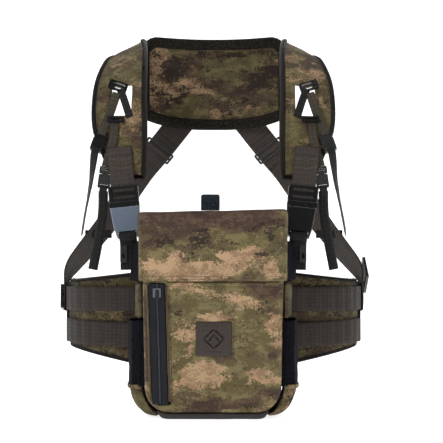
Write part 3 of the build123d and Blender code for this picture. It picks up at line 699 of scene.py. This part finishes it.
def pad_front(x, z, lift, side):
    """A point in front of the shoulder pad's face, for a strap that lies on it."""
    rows = PAD_EDGES[:6]
    for low, high in zip(rows, rows[1:]):
        if z <= high[0][2] or high is rows[-1]:
            f = (z - low[0][2]) / (high[0][2] - low[0][2])
            inner = Vector(low[0]).lerp(Vector(high[0]), f)
            outer = Vector(low[1]).lerp(Vector(high[1]), f)
            across = (outer.y - inner.y) / (outer.x - inner.x)
            rise = ((high[0][1] + high[1][1]) - (low[0][1] + low[1][1])) / 2 / (high[0][2] - low[0][2])
            y = inner.y + across * (x - inner.x) - (PAD_T / 2 + lift) * (1 + across ** 2 + rise ** 2) ** 0.5
            return v(side * x, y, z)


# ---------------------------------------------------------------- shoulder pads
PAD_ROWS, PAD_COLS = 60, 12
WINDOW = (16, 24, 3, 8)


def pad_grid(side, sign):
    def point(r, c):
        t, s = PAD_END * r / PAD_ROWS, c / PAD_COLS
        inset = 0.05 + 0.90 * s
        crown = 1.6 + 2.6 * (1 - abs(2 * s - 1) ** 2.5)
        if r in (0, PAD_ROWS):
            crown = 1.6
        return pad_point(side, t, inset, sign * crown)[0]
    return point


for side, word in SIDES:
    pad = slab(f"shoulder_pad_{word}_soft", PAD_ROWS, PAD_COLS, pad_grid(side, 1), pad_grid(side, -1),
               [WINDOW])
    inflate(pad, pressure=5.0, cap=2.5 * MM)
    crumple(pad, 0.9 * MM, 38, seed=3 + side)
    declare(pad, "camo_pad", replaces=(f"shoulder_pad_{word}",))
    subdivide(pad)
    # binding round the whole edge
    loop = [(PAD_END * k / 40, 0.045) for k in range(41)]
    loop += [(PAD_END, 0.045 + 0.91 * k / 6) for k in range(1, 6)]
    loop += [(PAD_END * k / 40, 0.955) for k in range(40, -1, -1)]
    loop += [(0.0, 0.955 - 0.91 * k / 6) for k in range(1, 6)]
    ribbon(f"pad_binding_{word}_tape", *zip(*(pad_point(side, t, s) for t, s in loop)), 6.4 * MM, 7.4 * MM,
           "binding", "dark_trim", replaces=(f"pad_binding_{word}",), closed=True, smooth=False, step=4 * MM)
    # stitching just inside the binding
    for label, s in (("inner", 0.135), ("outer", 0.865)):
        line = [pad_point(side, PAD_END * k / 40, s, 4.6) for k in range(1, 40)]
        stitches(f"pad_stitch_{label}_{word}", *zip(*line), "thread", "dark_trim")

# ---------------------------------------------------------------- yoke
YOKE_COLS, YOKE_ROWS = 44, 22
YOKE_HALF, YOKE_Y, YOKE_BOW = 76.0, 204.0, 16.0


def yoke_at(u, z):
    """A point on the yoke's middle surface in millimetres, u from -1 to 1 across it."""
    return Vector((YOKE_HALF * u, YOKE_Y - YOKE_BOW * u * u, z))


def yoke_out(u):
    return Vector((-2 * YOKE_BOW * u / YOKE_HALF, -1, 0)).normalized()


def yoke_low(share):
    return 197.0 + 11.0 * share ** 3


def yoke_top(share):
    return 299.0 + 3.0 * share ** 2 - 8.0 * max(0.0, (share - 0.84) / 0.16) ** 2


def panel_low(share):
    return yoke_low(share) + 11.0


def panel_top(share):
    return yoke_top(share) - 9.4


def yoke_grid(sign):
    def point(r, c):
        u = 2 * c / YOKE_COLS - 1
        w = r / YOKE_ROWS
        z = panel_low(abs(u)) + (panel_top(abs(u)) - panel_low(abs(u))) * w
        swell = (1 - abs(u) ** 6) * (1 - abs(2 * w - 1) ** 3)
        return (yoke_at(u, z) + yoke_out(u) * sign * (1.6 + 2.2 * swell)) * MM
    return point


yoke = slab("yoke_panel_soft", YOKE_ROWS, YOKE_COLS, yoke_grid(1), yoke_grid(-1))
inflate(yoke, pressure=5.0, cap=2.5 * MM)
crumple(yoke, 1.0 * MM, 30, seed=11)
declare(yoke, "camo_yoke", replaces=("yoke_panel",))
subdivide(yoke)
across = [u / 22 - 1 for u in range(45)]
outs = [yoke_out(u) for u in across]
for label, low, top in (("lower", yoke_low, lambda s: yoke_low(s) + 13.4),
                        ("upper", lambda s: yoke_top(s) - 11.4, yoke_top)):
    line = [yoke_at(u, (low(abs(u)) + top(abs(u))) / 2) * MM for u in across]
    ribbon(f"yoke_trim_{label}_mesh", line, outs, 12.8 * MM, 7.6 * MM, "trim_mesh", "dark_trim",
           replaces=("yoke_trim",) if label == "lower" else (), smooth=False, wobble=0.5 * MM)
    edge_z, beyond = (top, 1.2) if label == "lower" else (low, -1.2)
    seam = [yoke_at(u, edge_z(abs(u)) + beyond) * MM + out * 4.4 * MM for u, out in zip(across, outs)]
    stitches(f"yoke_stitch_{label}", seam, outs, "thread", "dark_trim", smooth=False)

for side, word in SIDES:
    ends = [v(side * 75.2, 188.6, yoke_low(1) + 1.5), v(side * 75.2, 188.6, yoke_top(1) - 1.5)]
    ribbon(f"yoke_end_{word}", ends, [yoke_out(side)] * 2, 5.4 * MM, 7.9 * MM, "binding", "dark_trim",
           smooth=False)

# ---------------------------------------------------------------- belt
WING_A0, WING_A1 = 19.0, 101.0
BELT_ROWS, BELT_COLS = 20, 40
ROW_A0, ROW_SPAN, ROW_LOOPS = 26, 58, 7


def wing_round(share):
    """How far the wing's corners round off towards its rear end."""
    return 7.0 * max(0.0, (share - 0.9) / 0.1) ** 2


def wing_grid(side, sign):
    def point(r, c):
        angle = WING_A0 + (WING_A1 - WING_A0) * c / BELT_COLS
        top, low, _ = belt_edges(angle)
        w = r / BELT_ROWS
        end = min(1.0, (1 - c / BELT_COLS) * 6) if c > 0 else 0.0
        round_off = wing_round(c / BELT_COLS)
        z = low + round_off + (top - low - 2 * round_off) * w
        crown = 1.4 + 2.2 * (1 - abs(2 * w - 1) ** 3) * end
        return belt_point(side, angle, z, sign * crown)[0]
    return point


for side, word in SIDES:
    wing = slab(f"belt_wing_{word}_soft", BELT_ROWS, BELT_COLS, wing_grid(side, 1), wing_grid(side, -1))
    inflate(wing, pressure=4.0, cap=1.6 * MM)
    crumple(wing, 0.6 * MM, 30, seed=21 + side)
    declare(wing, "camo_belt", replaces=(f"belt_wing_{word}",))
    subdivide(wing)
    rim = []
    for k in range(41):
        angle = WING_A0 + (WING_A1 - WING_A0) * k / 40
        rim.append(belt_point(side, angle, belt_edges(angle)[0] - 1.2 - wing_round(k / 40)))
    for k in range(1, 8):
        rim.append(belt_point(side, WING_A1, 20.0 - 52.0 * k / 8 - 1.0))
    for k in range(40, -1, -1):
        angle = WING_A0 + (WING_A1 - WING_A0) * k / 40
        rim.append(belt_point(side, angle, belt_edges(angle)[1] + 1.2 + wing_round(k / 40)))
    ribbon(f"belt_binding_{word}", *zip(*rim), 4.6 * MM, 5.2 * MM, "binding", "dark_trim", smooth=False,
           step=4 * MM)
    for row, (middle, drift) in enumerate(((13.8, -1.5), (-23.7, 2.0))):
        line = []
        for k in range(41):
            angle = ROW_A0 + ROW_SPAN * k / 40
            bow = 0.9 * abs(math.sin(math.pi * k * ROW_LOOPS / 40))
            line.append(belt_point(side, angle, middle + drift * belt_edges(angle)[2], 5.4 + bow))
        ribbon(f"belt_webbing_{row}_{word}", *zip(*line), 25 * MM, 1.8 * MM, "webbing_belt", "webbing_brown",
               smooth=False, step=2 * MM, replaces=(f"belt_webbing_{word}",) if row == 0 else ())
        # bar tacks where the webbing is sewn down
        for k in range(ROW_LOOPS + 1):
            angle = ROW_A0 + ROW_SPAN * k / ROW_LOOPS
            z = middle + drift * belt_edges(angle)[2]
            for label, shift in (("a", -0.45), ("b", 0.45)):
                line = [belt_point(side, angle + shift, z + dz, 6.6) for dz in (-11.5, 0, 11.5)]
                stitches(f"belt_tack_{row}_{k}_{word}_{label}", *zip(*line), "thread", "webbing_brown",
                         pitch=1.7 * MM, long=1.4 * MM, smooth=False)
    # dark facing over the wing's end, behind the ladder-lock
    facing = [belt_point(side, 85.5 + 13 * k / 8, 7.0, 5.6) for k in range(9)]
    ribbon(f"belt_facing_{word}", *zip(*facing), 38 * MM, 2.0 * MM, "webbing_black", "webbing_black",
           smooth=False)

rear = [belt_point(1, 105 + 150 * k / 60, 5.0) for k in range(61)]
ribbon("belt_rear_webbing_strap", *zip(*rear), 38 * MM, 2.4 * MM, "webbing_black", "webbing_black",
       replaces=("belt_rear_webbing",), smooth=False)


# ---------------------------------------------------------------- straps of the shoulder harness
FACE = Vector((0, -1, 0))


def bar_turn(at, away):
    """Webbing turned over a small buckle's bar: out of its slot, over the bar and away with the strap."""
    face = (FACE - away * FACE.dot(away)).normalized()
    turn = ((0, 0, -1, 0), (0.2, 2.7, -0.7, 0.7), (2.0, 4.0, 0, 1), (4.0, 3.1, 0.5, 0.8), (6.2, 0.9, 0.2, 1))
    return [at + (away * a + face * b) * MM for a, b, _, _ in turn], [away * a + face * b for _, _, a,
                                                                      b in turn]


for side, word in SIDES:
    out = Vector((side, 0, 0))
    strap_top, strap_low = v(side * 96.8, -5.0, 162), v(side * 91.8, -13.0, 114)
    down = (strap_low - strap_top).normalized()
    web = ribbon(f"main_strap_{word}_web", [strap_top, strap_low], [FACE] * 2, 25 * MM, 2.0 * MM,
                 "webbing_brown",
                 "webbing_brown", replaces=(f"main_strap_{word}",), step=1.5 * MM)
    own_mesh(web)
    ribbon(f"main_strap_{word}_sewn", [v(side * 97.7, 1.0, 171), v(side * 97.3, -2.8, 166.5), strap_top],
           [FACE] * 3,
           25 * MM, 2.2 * MM, "webbing_brown", "webbing_brown")
    for k, z in enumerate((159.0, 150.5)):
        f = (162 - z) / 48
        y = -5.0 - 8.0 * f - 1.5
        x = 96.8 - 5.0 * f
        bend = [v(side * (x - 11.5), y, z + 0.5), v(side * x, y, z - 1.6), v(side * (x + 11.5), y, z + 0.5)]
        thread = stitches(f"main_stitch_{k}_{word}", bend, [FACE] * 3, "thread_light", "webbing_brown",
                          pitch=2.4 * MM,
                          long=1.8 * MM)
        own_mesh(thread)
    face_dir = (FACE - down * FACE.dot(down)).normalized()
    anchor = [strap_low + down * 31.5 * MM - face_dir * 5.6 * MM, v(side * 87.4, -11.8, 72),
              v(side * 86.8, -11.8, 44)]
    ribbon(f"anchor_webbing_{word}_web", anchor, [FACE] * 3, 18 * MM, 1.8 * MM, "webbing_black",
           "webbing_black",
           replaces=(f"anchor_webbing_{word}",))
    # its turn through the slot and over the buckle's bar
    loop = ((31.4, -5.2, -0.7, -0.7), (32.3, -2.2, -1, 0), (32.6, 2.4, -1, 0), (33.6, 5.0, -0.7, 0.7),
            (35.4, 5.5, 0, 1),
            (37.6, 4.2, 0.6, 0.8), (38.8, 0.0, 1, 0), (40.2, -3.6, 0.8, -0.3), (44.0, -5.6, 0.2, -1))
    ribbon(f"anchor_turn_{word}", [strap_low + (down * a + face_dir * b) * MM for a, b, _, _ in loop],
           [down * a + face_dir * b for _, _, a, b in loop], 17.8 * MM, 1.4 * MM, "webbing_black",
           "webbing_black",
           step=1.2 * MM)

    upper = [pad_front(101.5, 229, 3.4, side), pad_front(108.0, 208, 4.0, side),
             pad_front(115.0, 189, 3.4, side)]
    lower = [pad_front(103.2, 203, 3.0, side), pad_front(104.2, 180, 3.4, side), v(side * 110.8, -0.5, 153)]
    upper_dir = Vector((side * 5.4, -6.0, -16.0)).normalized()
    buckle_at = upper[-1] + upper_dir * 14.2 * MM + FACE * 4.2 * MM
    turn, turned = bar_turn(buckle_at - upper_dir * 9.2 * MM, -upper_dir)
    ribbon(f"upper_strap_{word}", upper[:2] + turn[::-1], [FACE] * 2 + turned[::-1], 9.2 * MM, 2.0 * MM,
           "webbing_olive", "webbing_brown", replaces=(f"pad_straps_{word}",), wobble=0.3 * MM, step=1.5 * MM)
    turn, turned = bar_turn(buckle_at + upper_dir * 7.9 * MM, upper_dir)
    tail = turn + [v(side * 128.5, 22, 136), v(side * 135, 60, 112), v(side * 141, 104, 94),
                   v(side * 145.5, 146, 82)]
    faces = turned + [Vector((side, -0.7, 0)), out, out, Vector((side, 0.2, 0))]
    ribbon(f"upper_tail_{word}", tail, faces, 8.0 * MM, 1.6 * MM, "webbing_black", "webbing_black",
           replaces=(f"strap_tails_{word}",), wobble=0.3 * MM, step=1.5 * MM)
    lower_dir = Vector((side * 2.4, 0.5, -18.0)).normalized()
    buckle_at = lower[-1] + lower_dir * 14.2 * MM
    # this one ends flat in the slot, out of the way of the main buckle as it slides out
    ribbon(f"lower_strap_{word}", lower + [lower[-1] + lower_dir * 1.7 * MM], [FACE] * 4, 9.6 * MM, 2.2 * MM,
           "webbing_olive", "webbing_brown", wobble=0.3 * MM)
    slot_at = buckle_at - lower_dir * 9.2 * MM
    ribbon(f"lower_strap_end_{word}", [slot_at - lower_dir * 1.1 * MM, slot_at + lower_dir * 1.1 * MM],
           [FACE] * 2,
           8.8 * MM, 3.4 * MM, "webbing_olive", "webbing_brown", step=1 * MM)
    turn, turned = bar_turn(buckle_at + lower_dir * 7.9 * MM, lower_dir)
    tail = [v(side * 116, 4, 96), v(side * 126, 14, 44)]
    ribbon(f"lower_tail_{word}_front", turn + tail, turned + [FACE] * 2, 8.0 * MM, 1.7 * MM, "webbing_black",
           "webbing_black", wobble=0.4 * MM, step=1.5 * MM)
    tail = [point + v(0, 2.4, 0) for point in [buckle_at + lower_dir * 13.5 * MM] + tail]
    ribbon(f"lower_tail_{word}_back", tail, [FACE] * 3, 10 * MM, 1.9 * MM, "webbing_black", "webbing_black",
           wobble=0.8 * MM)

    route = [v(side * 36, 207.5, 208), v(side * 62, 204, 175), v(side * 84, 198, 148),
             v(side * 112, 179, 103),
             v(side * 139, 143, 66), v(side * 158.3, 112, 40), v(side * 160.4, 100, 22),
             v(side * 160.4, 97, -2)]
    faces = [Vector((0, 1, 0)), Vector((0, 1, 0)), Vector((side * 0.2, 1, 0.1)), Vector((side * 0.6, 1, 0.3)),
             Vector((side, 0.75, 0.3)), Vector((side, 0.25, 0.2)), out, out]
    ribbon(f"rear_strap_{word}_web", route, faces, 30 * MM, 2.0 * MM, "webbing_brown", "webbing_brown",
           replaces=(f"rear_strap_{word}",), wobble=0.5 * MM)
    # the strap's turn over the glide's middle bar
    slope = (route[2] - route[0]).normalized()
    bar = route[1] + v(side, -6, -1)
    turn = [bar + slope * along * MM + FACE * lift * MM
            for along, lift in ((-16, -4.6), (-6.5, -2.4), (-2.6, 0.6), (0, 2.4), (2.6, 0.6), (6.5, -2.4),
                                (16, -4.6))]
    ribbon(f"rear_turn_{word}", turn, [FACE] * 7, 29 * MM, 1.6 * MM, "webbing_brown", "webbing_brown",
           step=1.2 * MM)
    # elastic keeper round the rear strap, and the brace beside the pad's window
    keeper = [route[3].lerp(route[4], 0.62) + v(side * a, b, 0) for a, b in
              ((-13.0, 9.2), (-14.6, 5.0), (-12.0, 4.2), (10.8, -13.6), (12.6, -12.2), (11.0, -8.4))]
    ribbon(f"strap_keeper_{word}", keeper, [v(side * a, b, 0).normalized() for a, b in
           ((0.6, 0.8), (-1, 0), (-0.6, -0.8), (-0.6, -0.8), (1, 0), (0.6, 0.8))], 9 * MM, 1.5 * MM,
           "webbing_black",
           "webbing_black", closed=True, smooth=False, step=1.5 * MM)
    ribbon(f"pad_brace_{word}", [pad_front(98.0, 233, 2.2, side), pad_front(93.0, 220, 1.0, side),
                                 pad_front(87.6, 203.5, 1.2, side)], [FACE] * 3, 8 * MM, 2.0 * MM,
           "webbing_black",
           "webbing_black", wobble=0.3 * MM)


# ---------------------------------------------------------------- pack
def zip_x(z):
    return -52.4 - 3.6 * (z + 88.0) / 120.5


def lid_shape(co):
    x, y, z = co / MM
    high = min(1.0, max(0.0, (z - 80.0) / 25.0))
    z += 0.022 * x * high * high
    if z > 100:
        z -= 1.4 * math.sin(math.pi * min(1, max(0, (y + 103) / 90))) * (1 - (x / 76) ** 2)
    edge = (abs(x) / 75.0) ** 6
    if y < -95:
        y += 2.2 * edge
        if z < 60:
            y -= 0.8 * math.sin(x * 0.06 + 1.0) * (60 - z) / 26.0
    return Vector((x, y, z)) * MM


soft_copy("lid_flap", "lid_flap_soft", 1.6 * MM, 5, "camo_lid", "lid", depth=0.5 * MM,
          scale=34,
          shape=lid_shape, seed=5.0)


def drawn_in(z):
    """How far the pack's sides draw in towards its bottom corners."""
    return 1.0 - 0.13 * max(0.0, (-74.0 - z) / 21.0) ** 1.5


def pocket_shape(co):
    x, y, z = co / MM
    if y < -93:
        y += 4.5 * (abs(x) / 71.0) ** 8 + 3.5 * max(0.0, (-z - 60.0) / 37.0) ** 3
    return Vector((x * drawn_in(z), y, z)) * MM


def shell_shape(co):
    return Vector((co.x * drawn_in(co.z / MM), co.y, co.z))


def chest_shape(co):
    """Presses quilting lines into the chest pad's outer face."""
    if co.y <= -4 * MM:
        return co
    return co + Vector((0, -1.6 * MM * abs(math.sin(co.z / MM * math.pi / 47.0)) ** 8, 0))


def base_shape(co):
    x, y, z = co / MM
    y += 3.6 * max(0.0, (-88.0 - y) / 14.0)
    return Vector((x, y, z + 2.2 * max(0.0, (abs(x) - 44.0) / 10.0) ** 2)) * MM


soft_copy("front_pocket", "front_pocket_soft", 1.5 * MM, 3, "camo_front", depth=0.45 * MM,
          scale=30, shape=pocket_shape, seed=2.0)
soft_copy("pack_shell", "pack_shell_soft", 2.4 * MM, 4, "camo_side", depth=0.5 * MM, scale=26,
          shape=shell_shape)
soft_copy("back_panel", "back_panel_soft", 2.2 * MM, 3, "dark_fabric", depth=0.2 * MM)
chest = soft_copy("chest_pad", "chest_pad_soft", 2.6 * MM, 4, "spacer_mesh", depth=0.3 * MM,
                  shape=chest_shape)
soft_copy("base_panel", "base_panel_soft", 1.6 * MM, 3, "base_rubber", depth=0.3 * MM,
          shape=base_shape)
soft_copy("side_panels", "side_panels_soft", 1.8 * MM, 6, "camo_side", depth=0.8 * MM,
          scale=50)
soft_copy("hinge_strip", "hinge_strip_tape", 0.6 * MM, 2, "camo_front", depth=0.1 * MM)
for side, word in SIDES:
    soft_copy(f"side_pocket_{word}", f"side_pocket_{word}_mesh", 0.8 * MM, 6, "dark_fabric",
              depth=0.9 * MM, scale=55, seed=side)
    soft_copy(f"side_wing_{word}", f"side_wing_{word}_soft", 1.4 * MM, 8, "dark_fabric",
              depth=1.0 * MM, scale=60, seed=side * 2)
soft_copy("lid_tab", "lid_tab_soft", 0.7 * MM, 2, "tab_fabric", "lid", 0.15 * MM)
soft_copy("zip_tapes", "zip_tapes_coated", 0.5 * MM, 1, "zip_tape", depth=0.08 * MM, scale=80)

# gussets gathered in under the side pockets, with a hem and the pocket's bound front seam
GUSSET_OUT = ((84.2, -70.6), (83.4, -77), (80.3, -85), (75.6, -92.5), (69.6, -98.4), (63, -101.0),
              (56, -101.6))
GUSSET_ROWS, GUSSET_COLS = 14, 24
GUSSET_IN = ((71.0, -70.6), (70.4, -78), (67.0, -86), (63.5, -92), (60.0, -96), (57, -97.8), (54, -98.6))


def gusset_grid(side, outer):
    def point(r, c):
        f = 6.0 * r / GUSSET_ROWS
        far, near = (curve_at([Vector((x, 0, z)) for x, z in line], f) for line in (GUSSET_OUT, GUSSET_IN))
        front, rear = min(1.0, c / 5), min(1.0, (GUSSET_COLS - c) / 4)
        reach = (0.10 + 0.90 * (1 - (1 - front) ** 2) ** 0.6) * (0.3 + 0.7 * rear ** 0.5)
        spot = near.lerp(far, reach if outer else 0.0)
        gather = 0.8 * math.sin(c * 1.9 + side) * math.sin(math.pi * r / GUSSET_ROWS) if outer else 0.0
        return v(side * (spot.x + gather), -83.0 + 65.0 * c / GUSSET_COLS, spot.z)
    return point


for side, word in SIDES:
    gusset = slab(f"corner_gusset_{word}", GUSSET_ROWS, GUSSET_COLS, gusset_grid(side, True),
                  gusset_grid(side, False))
    crumple(gusset, 0.8 * MM, 60, seed=31 + side)
    declare(gusset, "camo_side", replaces=("corner_gussets",) if side < 0 else ())
    subdivide(gusset)
    hem = [v(side * 71.6, -82.9, -71.6), v(side * 77.5, -80.2, -71.6), v(side * 82.8, -76.4, -71.6),
           v(side * 86.4, -50, -71.6), v(side * 84.4, -22, -71.6)]
    ribbon(f"gusset_hem_{word}", hem, [Vector((side * 0.3, -1, 0)), Vector((side * 0.5, -1, 0)),
                                      Vector((side, -0.7, 0)), Vector((side, 0, 0)), Vector((side, 0.1, 0))],
           4.2 * MM, 1.5 * MM, "camo_front", "camo_fabric", wobble=0.4 * MM)
    ribbon(f"side_pocket_seam_{word}", [v(side * 71.7, -82.6, -4.8), v(side * 71.2, -82.6, -71)], [FACE] * 2,
           7.0 * MM, 1.5 * MM, "dark_fabric", "dark_fabric")

# seams: lid hem and edges, and the piping beside the zip
for k, z in enumerate((36.2, 39.4)):
    hem = [v(x, -104.1 - 0.8 * math.sin(x * 0.06 + 1.0) * (60 - z) / 26.0 + 2.2 * (abs(x) / 75.0) ** 6, z)
           for x in range(-70, 71, 5)]
    stitches(f"lid_hem_stitch_{k}", hem, [FACE] * len(hem), "thread_light", "camo_fabric", "lid")
for side, word in SIDES:
    edge = [v(side * 70.5, -103.7 + 2.2 * (70.5 / 75) ** 6, z) for z in range(38, 99, 4)]
    stitches(f"lid_edge_stitch_{word}", edge, [FACE] * len(edge), "thread", "camo_fabric", "lid")
for label, near in (("left", -9.6), ("right", 9.6)):
    line = [v(zip_x(z) + near, -100.1 + 4.5 * (abs(zip_x(z) + near) / 71.0) ** 8, z) for z in range(30, -86,
                                                                                                    -5)]
    ribbon(f"zip_piping_{label}", line, [FACE] * len(line), 1.9 * MM, 1.5 * MM, "piping", "camo_fabric")
    line = [p + v(2.6 if near > 0 else -2.6, 0.2, 0) for p in line]
    stitches(f"zip_stitch_{label}", line, [FACE] * len(line), "thread", "camo_fabric")

# patch with a stitched border and a plain emblem: a diamond, a peak and a bar
px, py, pz = 0.9, -99.9, -22.6
PATCH_STEPS = 28


def patch_point(i, j):
    u, w = 2 * i / PATCH_STEPS - 1, 2 * j / PATCH_STEPS - 1
    edge = max(abs(u), abs(w))
    lift = 1.3 * (1 - edge ** 14)
    lift -= 0.45 * math.exp(-((edge - 0.80) / 0.05) ** 2)
    return v(px + 17.75 * u, py - lift, pz + 17.0 * w)


size = PATCH_STEPS + 1
verts = [patch_point(i, j) for i in range(size) for j in range(size)]
faces = [(k, k + size, k + size + 1, k + 1)
         for i in range(PATCH_STEPS) for k in range(i * size, i * size + PATCH_STEPS)]
patch = mesh_object("patch_leather_face", verts, faces)
fix_normals(patch)
solid = patch.modifiers.new("thick", "SOLIDIFY")
solid.thickness = 0.6 * MM
solid.offset = 1.0
declare(patch, "patch_leather", replaces=("patch",))
subdivide(patch)
emblem = [v(px + 10.2 * a, py - 1.5, pz + 9.6 * b) for a,
          b in ((0, 1), (0.5, 0.5), (1, 0), (0.5, -0.5), (0, -1),
                                                                (-0.5, -0.5), (-1, 0), (-0.5, 0.5))]
ribbon("patch_emblem_diamond", emblem + emblem[:1], [FACE] * 9, 2.6 * MM, 0.8 * MM, "patch_dark",
       "patch_leather",
       closed=True, smooth=False, step=1 * MM)
peak = [v(px + a, py - 1.5, pz + b) for a,
        b in ((-5.2, -2.6), (-2.6, 1.0), (0, 4.0), (2.6, 1.0), (5.2, -2.6))]
ribbon("patch_emblem_peak", peak, [FACE] * 5, 2.4 * MM, 0.8 * MM, "patch_dark", "patch_leather", smooth=False,
       step=0.8 * MM)
base = [v(px + a, py - 1.5, pz - 12.6) for a in (-8, -4, 0, 4, 8)]
ribbon("patch_emblem_bar", base, [FACE] * 5, 1.2 * MM, 0.6 * MM, "patch_dark", "patch_leather", smooth=False)
border = [v(px + sx * 15.6, py - 1.25, pz + sz * 14.9) for sx,
          sz in ((-1, -1), (1, -1), (1, 1), (-1, 1), (-1, -1))]
stitches("patch_stitch", border, [FACE] * 5, "thread", "patch_leather", smooth=False, pitch=2.2 * MM,
         long=1.5 * MM)

# ---------------------------------------------------------------- hard pieces keep their CAD shape
HARD = {
    "buckle_female_left": "plastic_grey", "buckle_female_right": "plastic", "buckle_male_left": "plastic",
    # the rear glides' lighter plastic is a painted highlight
    "buckle_male_right": "plastic", "belt_locks": "plastic", "rear_glides": "plastic_bar_highlight",
        "side_hooks": "plastic",
    "zip_slider": "zip_metal", "zip_pull": "zip_pull", "zip_teeth": "zip_coil", "body_magnets": "magnet",
    "lid_magnets": "magnet", "floor_board": "stiffener",
}
for _, word in SIDES:
    HARD.update({f"{name}_{word}": "plastic" for name in ("upper_plug", "upper_socket", "lower_plug",
                                                          "lower_socket",
                                                        "pad_locks")})
for name, material in HARD.items():
    node = cad_object(name)
    for slot in node.material_slots:
        slot.material = M[material]
    if not node.material_slots:
        node.data.materials.append(M[material])

# ---------------------------------------------------------------- floor, light and camera
FLOOR_Z = -103.4 * MM
FLOOR_REACH, COVE_Y, COVE_R, WALL_HEIGHT = 14.0, 2.4, 1.2, 5.0


def pale(name, colour):
    n = Nodes(name)
    cloud = n.noise(n.coords(), 3, 2)
    mat = n.finish(n.mix(cloud, times(colour, 0.985), colour), 0.9, Specular_IOR_Level=0.1)
    n.put(n.bsdf.inputs["Emission Color"], (1, 1, 1, 1))
    n.put(n.bsdf.inputs["Emission Strength"], 0.8)
    return mat


profile = [(-FLOOR_REACH, FLOOR_Z), (COVE_Y, FLOOR_Z)]
for k in range(1, 11):
    turn = k * math.pi / 20
    profile.append((COVE_Y + COVE_R * math.sin(turn), FLOOR_Z + COVE_R - COVE_R * math.cos(turn)))
profile.append((COVE_Y + COVE_R, FLOOR_Z + WALL_HEIGHT))
verts = [(x, y, z) for y, z in profile for x in (-FLOOR_REACH, FLOOR_REACH)]
faces = [(2 * k, 2 * k + 1, 2 * k + 3, 2 * k + 2) for k in range(len(profile) - 1)]
stage = mesh_object("studio_floor", verts, faces)
stage.data.materials.append(pale("studio_pale", (0.92, 0.92, 0.92)))
stage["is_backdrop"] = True


def area(name, where, aim, size, power):
    data = bpy.data.lights.new(name, "AREA")
    data.shape = "SQUARE"
    data.size = size
    data.energy = power
    light = bpy.data.objects.new(name, data)
    light.location = where
    light.rotation_euler = (Vector(aim) - Vector(where)).to_track_quat("-Z", "Y").to_euler()
    bpy.context.scene.collection.objects.link(light)


area("key", (-1.2, -1.8, 1.7), (0, 0, 0.05), 0.8, 26)
area("fill", (1.8, -1.7, 0.6), (0, 0, 0.05), 1.3, 8)
area("top", (0.0, 0.2, 2.2), (0, 0.05, 0), 1.4, 13)
area("back", (0.3, 2.2, 1.2), (0, 0.1, 0.1), 1.6, 10)
world = bpy.data.worlds.new("studio")
bpy.context.scene.world = world
world.use_nodes = True
background = world.node_tree.nodes["Background"]
background.inputs["Color"].default_value = (0.95, 0.97, 1.0, 1)
background.inputs["Strength"].default_value = 0.16
bpy.context.scene.view_settings.view_transform = "Standard"

SENSOR = 36.0
FOCAL_PIXELS, IMAGE_PIXELS = 2200, 443
cam = bpy.data.cameras.new("camera")
cam.sensor_width = SENSOR
cam.lens = SENSOR * FOCAL_PIXELS / IMAGE_PIXELS
camera = bpy.data.objects.new("camera", cam)
camera.location = v(8.5, -2285, 94)
camera.rotation_euler = (math.pi / 2, 0, 0)
bpy.context.scene.collection.objects.link(camera)
bpy.context.scene.camera = camera

low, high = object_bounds()
